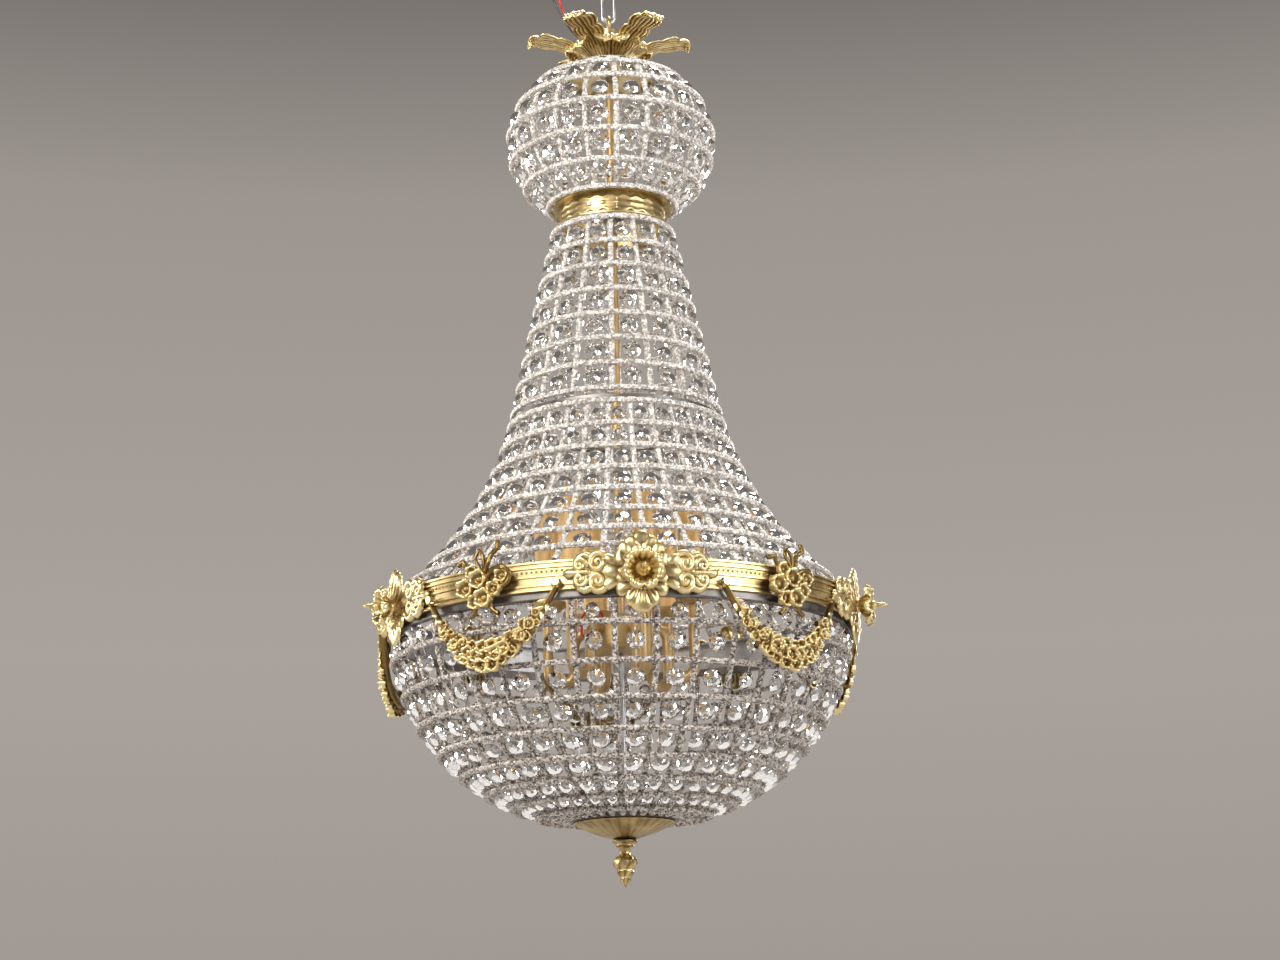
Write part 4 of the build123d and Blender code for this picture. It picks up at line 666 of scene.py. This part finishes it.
PETALS = 7
flowers = Piece()
for number in range(ORNAMENTS):
    azimuth = number * ORNAMENT_STEP
    share = np.linspace(0, 1, 14)[:, None]
    across = np.linspace(-1, 1, 11)[None, :]
    for petal in range(PETALS):
        heading = 2 * np.pi * petal / PETALS + np.pi / 2
        reach = 4 + 16.5 * share - 1.5 * across ** 2 * share ** 3
        width = 7.6 * np.sin(np.pi * (0.14 + 0.72 * share)) ** 0.8
        side = across * width
        depth = (6.5 + 13 * np.sin(share * 1.9) ** 2 - 2.4 * share ** 6 * 2 + 1.5 * across ** 2
                 + 0.7 * np.cos(across * 9))
        px = reach * np.cos(heading) - side * np.sin(heading)
        py = reach * np.sin(heading) + side * np.cos(heading)
        flowers.grid(on_plane(px, py, depth, PLAQUE_IN, azimuth, BAND_MIDDLE))
    stalk = lathe([(8, 3.0), (7.5, 6), (5, 8), (6.3, 11), (7, 13.5), (5.5, 16), (3.2, 17.5), (4.4, 19.5),
                   (4.6, 21.5), (2.6, 23.5), (2.1, 27), (2.6, 29), (1.5, 32), (0.5, 35.2)], 20)
    turned = on_plane(stalk[..., 0], stalk[..., 1], stalk[..., 2], PLAQUE_IN, azimuth, BAND_MIDDLE)
    flowers.grid(turned, around=True)
flowers.make("rosette_flowers", [gilt], "chandelier", ["rosettes"], thick=0.9)

# ---------------------------------------------------------------- bows


def curve_through(points, count, closed=False):
    """A smooth line through points."""
    points = np.array(points, float)
    total = len(points)
    share = np.linspace(0, total if closed else total - 1, count, endpoint=not closed)
    index = np.minimum(share.astype(int), total - 1 if closed else total - 2)
    t = (share - index)[:, None]
    around = (lambda k: points[k % total]) if closed else (lambda k: points[np.clip(k, 0, total - 1)])
    a, b, c, d = around(index - 1), around(index), around(index + 1), around(index + 2)
    square = 2 * a - 5 * b + 4 * c - d
    cube = 3 * b - a - 3 * c + d
    return 0.5 * (2 * b + (c - a) * t + square * t ** 2 + cube * t ** 3)


BOW_RADIUS = 243.3
BOW_LINES = [
    ([(3, 1, 2), (12, 9, 4), (23, 10, 4), (28, 2, 1), (22, -7, 2), (10, -5, 4)], True, 5.0),
    ([(0, 4, 2), (5, 14, 4), (9, 24, 2), (16, 29, 3), (15, 36, 1)], False, 4.6),
    ([(-2, 3, 2), (-8, 12, 4), (-18, 14, 3), (-22, 20, 4), (-29, 18, 1)], False, 4.6),
    ([(0, 2, 2), (-3, 12, 5), (-8, 22, 4), (-4, 29, 2), (1, 20, 4)], True, 3.6),
    ([(2, -4, 2), (9, -16, 4), (8, -26, 2), (16, -33, 1)], False, 4.6),
    ([(-2, -4, 2), (-10, -18, 3), (-9, -27, 2), (-14, -34, 1)], False, 4.2),
]
BOW_FLOWERS = [((-3, 1, 5), 8.5), ((-19, -6, 3), 8.5), ((2, -17, 4), 8.5), ((-9, -19, 2), 7.0),
               ((13, -9, 3), 7.0), ((20, 3, 1), 6.5), ((-12, 9, 3), 6.0)]


def rose(middle, size, frame_at, petals=5):
    """An open flower with a hollow heart and a small button in it."""
    angle = np.linspace(0, 2 * np.pi, petals * 6, endpoint=False)[None, :]
    share = np.array([0, 0.14, 0.2, 0.42, 0.70, 0.92, 1.0, 0.9])[:, None]
    height = np.array([0.42, 0.38, 0.1, 0.12, 0.55, 0.72, 0.58, -0.3])[:, None] * size
    reach = size * share * (1 + 0.16 * np.abs(np.cos(petals * angle / 2)) * (share > 0.4))
    lift = height * (1 + 0.22 * np.cos(petals * angle) * (share > 0.6))
    return frame_at(middle[0] + reach * np.cos(angle), middle[1] + reach * np.sin(angle), middle[2] + lift)


for number in range(ORNAMENTS):
    azimuth = (number + 0.5) * ORNAMENT_STEP
    bow = Piece()

    def flat(x, y, depth, azimuth=azimuth):
        return on_plane(x, y, depth, BOW_RADIUS, azimuth, BAND_MIDDLE)

    for points, closed, width in BOW_LINES:
        path = curve_through(points, 40, closed)
        widths = width * (1 + 0.16 * np.sin(np.linspace(0, 14 * np.pi, 40)))
        ribbon = tube(path, widths * 0.52, width * 0.5, 8, closed=closed)
        if closed:
            ribbon = np.concatenate([ribbon, ribbon[:1]])
        bow.grid(flat(ribbon[..., 0], ribbon[..., 1], np.maximum(ribbon[..., 2], -4.6)), around=True)
    for spot, size in BOW_FLOWERS:
        bow.grid(rose(spot, size, flat)[:, ::-1], around=True)
    bow.make(f"ribbon_bow_{number + 1}", [gilt], "chandelier", [f"bow_{number + 1}"])

# ---------------------------------------------------------------- garlands

EYELET_MIDDLE = 240.4
GARLAND_HALF = 17.0
GARLAND_DROP = 58.0
GARLAND_LEAN = 4.0
EYELET_RADIUS = 5.4
EYELET_HOLE = 3.2
HALF_CHORD = 71
EYELET_HEIGHT = box_mm("garland_1")[1][2] - EYELET_RADIUS


def garland_spot(share, side, up, out):
    """A point beside a garland's middle line: side along it, up, and outwards."""
    fall = 1 - share ** 2
    radius = EYELET_MIDDLE - GARLAND_LEAN * fall ** 2 + out
    azimuth = share * GARLAND_HALF + np.degrees(side / radius)
    return azimuth, radius, EYELET_HEIGHT - EYELET_HOLE - GARLAND_DROP * fall + up


def ball_points(size, squash=1.0):
    """A small berry."""
    rise = np.linspace(-1, 1, 7)
    return lathe([(size * math.sqrt(max(0.0, 1 - r * r)) + 0.05, r * size * squash) for r in rise], 10)


for number in range(ORNAMENTS):
    bow_azimuth = (number + 0.5) * ORNAMENT_STEP
    swag = Piece()
    stations = np.linspace(-1, 1, 61)
    core = []
    for share in stations:
        azimuth, radius, height = garland_spot(share, 0, 0, 0)
        turn = math.radians(bow_azimuth + azimuth)
        core.append((radius * math.sin(turn), -radius * math.cos(turn), height))
    core = np.array(core)
    girth = 1.4 + 5.4 * (1 - np.abs(stations)) ** 0.7
    turn = math.radians(bow_azimuth)
    swag.grid(tube(core, girth, girth.mean(), 8, out=np.array([math.sin(turn), -math.cos(turn), 0])),
              around=True)
    for share in np.linspace(-0.87, 0.87, 25):
        fullness = 2.2 + 7.8 * (1 - abs(share)) ** 0.5
        for tier in range(3 if abs(share) < 0.76 else 2):
            up = (tier - 0.5 if abs(share) >= 0.76 else tier - 1) * fullness * 0.82
            out = 1.0 + fullness * (0.45 if tier == 1 else 0.15) + random.uniform(-0.6, 0.6)
            azimuth, radius, height = garland_spot(share, random.uniform(-1.5, 1.5), up, out)
            size = fullness * random.uniform(0.42, 0.6)

            def outwards(x, y, depth, azimuth=bow_azimuth + azimuth, radius=radius, height=height):
                return on_plane(x, y, depth, radius, azimuth, height)

            if abs(share) < 0.78 and (tier + round(share * 15)) % 2:
                swag.grid(rose((0, 0, 0), size * 1.3, outwards)[:, ::-1], around=True)
            elif abs(share) < 0.78:
                berry = ball_points(size * 0.85)
                swag.grid(outwards(berry[..., 0], berry[..., 2], berry[..., 1]), around=True)
            else:
                spread = (0.7 if tier else -0.7) * (1 if share < 0 else -1)
                angle = math.atan2(2 * GARLAND_DROP * share, HALF_CHORD) + spread
                rise = np.linspace(0, 1, 6)[:, None]
                cross = np.linspace(-1, 1, 5)[None, :]
                length = 9 * rise - 2
                width = cross * 2.4 * np.sin(np.pi * (0.1 + 0.88 * rise))
                depth = 1.6 * (1 - cross ** 2) + 1.5 * rise
                heading = angle if share < 0 else angle + np.pi
                px = length * math.cos(heading) - width * math.sin(heading)
                py = length * math.sin(heading) + width * math.cos(heading)
                swag.grid(outwards(px, py, depth)[:, ::-1])
    for side in (-1, 1):
        loop = np.linspace(0, 2 * np.pi, 25)
        path = np.stack([4.5 * np.sin(loop), 4.5 * np.cos(loop), 0 * loop], axis=-1)
        ring = tube(path, 0.85, 0.7, 8)
        swag.grid(on_plane(ring[..., 0], ring[..., 1], ring[..., 2], EYELET_MIDDLE,
                           bow_azimuth + side * GARLAND_HALF, EYELET_HEIGHT), around=True)
    swag.make(f"swag_{number + 1}", [gilt], f"festoon_{number + 1}", [f"garland_{number + 1}"])

# ---------------------------------------------------------------- band beading

BAND_RADIUS = 235.7
BEAD_LINE = 4.2            # height of the beads over the band's middle
BEAD_ANGLE = 1.2           # degrees from bead to bead
BEAD_SIZE = 1.25
beads = Piece()
for azimuth in np.arange(0, 360, BEAD_ANGLE):
    stud = ball_points(BEAD_SIZE)[3:]
    placed = on_plane(stud[..., 0], stud[..., 1], stud[..., 2] - 0.2, BAND_RADIUS, azimuth,
                      BAND_MIDDLE + BEAD_LINE)
    beads.grid(placed[:, ::-1], around=True)
beads.make("band_beading", [gilt_sheet], "chandelier")

# ---------------------------------------------------------------- cap and finial

cap_low, cap_high = box_mm("bottom_cap")
cap_foot, cap_top = cap_low[2], cap_high[2]
CAP_LINE = [(49.8, cap_top - 0.2), (50, cap_top - 1.6), (47.5, cap_top - 2.6), (44, cap_top - 4.4),
            (36, cap_top - 8.6), (27, cap_top - 12.2), (18, cap_top - 15), (12, cap_foot), (3.3, cap_foot)]
cap = Piece()
cap.grid(lathe(smooth_rows(CAP_LINE, 34), 240,
               lambda angle, share: 1 + 0.035 * np.abs(np.sin(15 * angle)) * (share > 0.12) * (share < 0.9)),
         around=True)
# The cap's darker brass is painted shade.
cap.make("fluted_cap", [painted_shade_brass], "chandelier", ["bottom_cap"], thick=-1.2)

finial_top = box_mm("finial")[1][2]
FINIAL_LINE = [(3.2, 0), (10, 0), (12.5, 1), (12.4, 3), (10.2, 4.6), (8.8, 5.6), (9.4, 6.8), (6.0, 9),
               (4.8, 12), (5.2, 15), (8.5, 16.6), (11.2, 18.6), (12.9, 21.5), (12.5, 25),
               (10, 28.4), (8.2, 30.2),
               (9.2, 32), (7.4, 35), (5.4, 37.4), (6.0, 39.2), (4.6, 42), (2.2, 45), (0.2, 47)]
finial = Piece()
finial.grid(lathe(smooth_rows([(r, finial_top - drop) for r, drop in FINIAL_LINE], 90), 72,
                  lambda angle, share: 1 - 0.13 * np.abs(np.sin(3.5 * angle + 9 * share)) * (share > 0.33)
                  * np.minimum(1, (share - 0.33) * 8) * (share < 0.97)), around=True)
finial.make("bud_finial", [gilt], "finial_knob", ["finial"])

# ---------------------------------------------------------------- floor, backdrop and lights

BACK_LOW = (0.335, 0.305, 0.28)
BACK_HIGH = (0.40, 0.365, 0.335)
BACK_TOP = (0.15, 0.137, 0.125)
FLOOR_DROP = 0.55

floor_mesh = bpy.data.meshes.new("floor")
rim = [(4 * math.cos(a), 4 * math.sin(a), cad_box[0].z - FLOOR_DROP)
       for a in np.linspace(0, 2 * math.pi, 64, endpoint=False)]
floor_mesh.from_pydata(rim, [], [tuple(range(64))])
floor_mesh.materials.append(finish_of("floor", (0.44, 0.42, 0.40), (0.47, 0.45, 0.43), 3, 0.7, bump=0.02))
floor = bpy.data.objects.new("floor", floor_mesh)
bpy.context.scene.collection.objects.link(floor)

world = bpy.data.worlds.new("studio")
bpy.context.scene.world = world
world.use_nodes = True
tree = world.node_tree
tree.nodes.clear()
rays = tree.nodes.new("ShaderNodeLightPath")
seen = tree.nodes.new("ShaderNodeMath")
seen.operation = "ADD"
seen.use_clamp = True
tree.links.new(rays.outputs["Is Camera Ray"], seen.inputs[0])
tree.links.new(rays.outputs["Is Glossy Ray"], seen.inputs[1])
seen_through = tree.nodes.new("ShaderNodeMath")
seen_through.operation = "ADD"
seen_through.use_clamp = True
tree.links.new(seen.outputs["Value"], seen_through.inputs[0])
tree.links.new(rays.outputs["Is Transmission Ray"], seen_through.inputs[1])
direction = tree.nodes.new("ShaderNodeTexCoord")
parts = tree.nodes.new("ShaderNodeSeparateXYZ")
tree.links.new(direction.outputs["Generated"], parts.inputs["Vector"])
fade = tree.nodes.new("ShaderNodeValToRGB")
fade.color_ramp.elements[0].position = 0.0
fade.color_ramp.elements[0].color = (*BACK_LOW, 1)
fade.color_ramp.elements[1].position = 0.46
fade.color_ramp.elements[1].color = (*BACK_TOP, 1)
for position, colour in ((0.18, BACK_HIGH), (0.36, BACK_LOW)):
    fade.color_ramp.elements.new(position).color = (*colour, 1)
tree.links.new(parts.outputs["Z"], fade.inputs["Fac"])
backdrop = tree.nodes.new("ShaderNodeBackground")
tree.links.new(fade.outputs["Color"], backdrop.inputs["Color"])
ambient = tree.nodes.new("ShaderNodeBackground")
ambient.inputs["Color"].default_value = (0.95, 0.96, 1.0, 1)
ambient.inputs["Strength"].default_value = 0.45
choice = tree.nodes.new("ShaderNodeMixShader")
tree.links.new(seen_through.outputs["Value"], choice.inputs["Fac"])
tree.links.new(ambient.outputs["Background"], choice.inputs[1])
tree.links.new(backdrop.outputs["Background"], choice.inputs[2])
output = tree.nodes.new("ShaderNodeOutputWorld")
tree.links.new(choice.outputs["Shader"], output.inputs["Surface"])

LIGHTS = [
    ("key", (-1.5, -2.0, 0.5), 1.0, 75, (1.0, 0.98, 0.95)),
    ("fill", (1.9, -1.6, -0.3), 1.2, 38, (0.97, 0.98, 1.0)),
    ("top", (0.4, 0.6, 1.3), 1.0, 45, (1.0, 0.99, 0.97)),
    ("rim", (1.2, 1.9, -0.2), 0.8, 30, (1.0, 0.97, 0.92)),
    ("left", (-2.0, 0.9, -0.5), 0.8, 26, (1.0, 0.98, 0.96)),
]
AIM = Vector((0, 0, -0.55))
for name, spot, size, power, colour in LIGHTS:
    light = bpy.data.lights.new(name, "AREA")
    light.size = size
    light.energy = power
    light.color = colour
    lamp = bpy.data.objects.new(name, light)
    lamp.location = spot
    lamp.rotation_euler = (AIM - lamp.location).to_track_quat("-Z", "Y").to_euler()
    bpy.context.scene.collection.objects.link(lamp)

bpy.context.scene.view_settings.view_transform = "Standard"
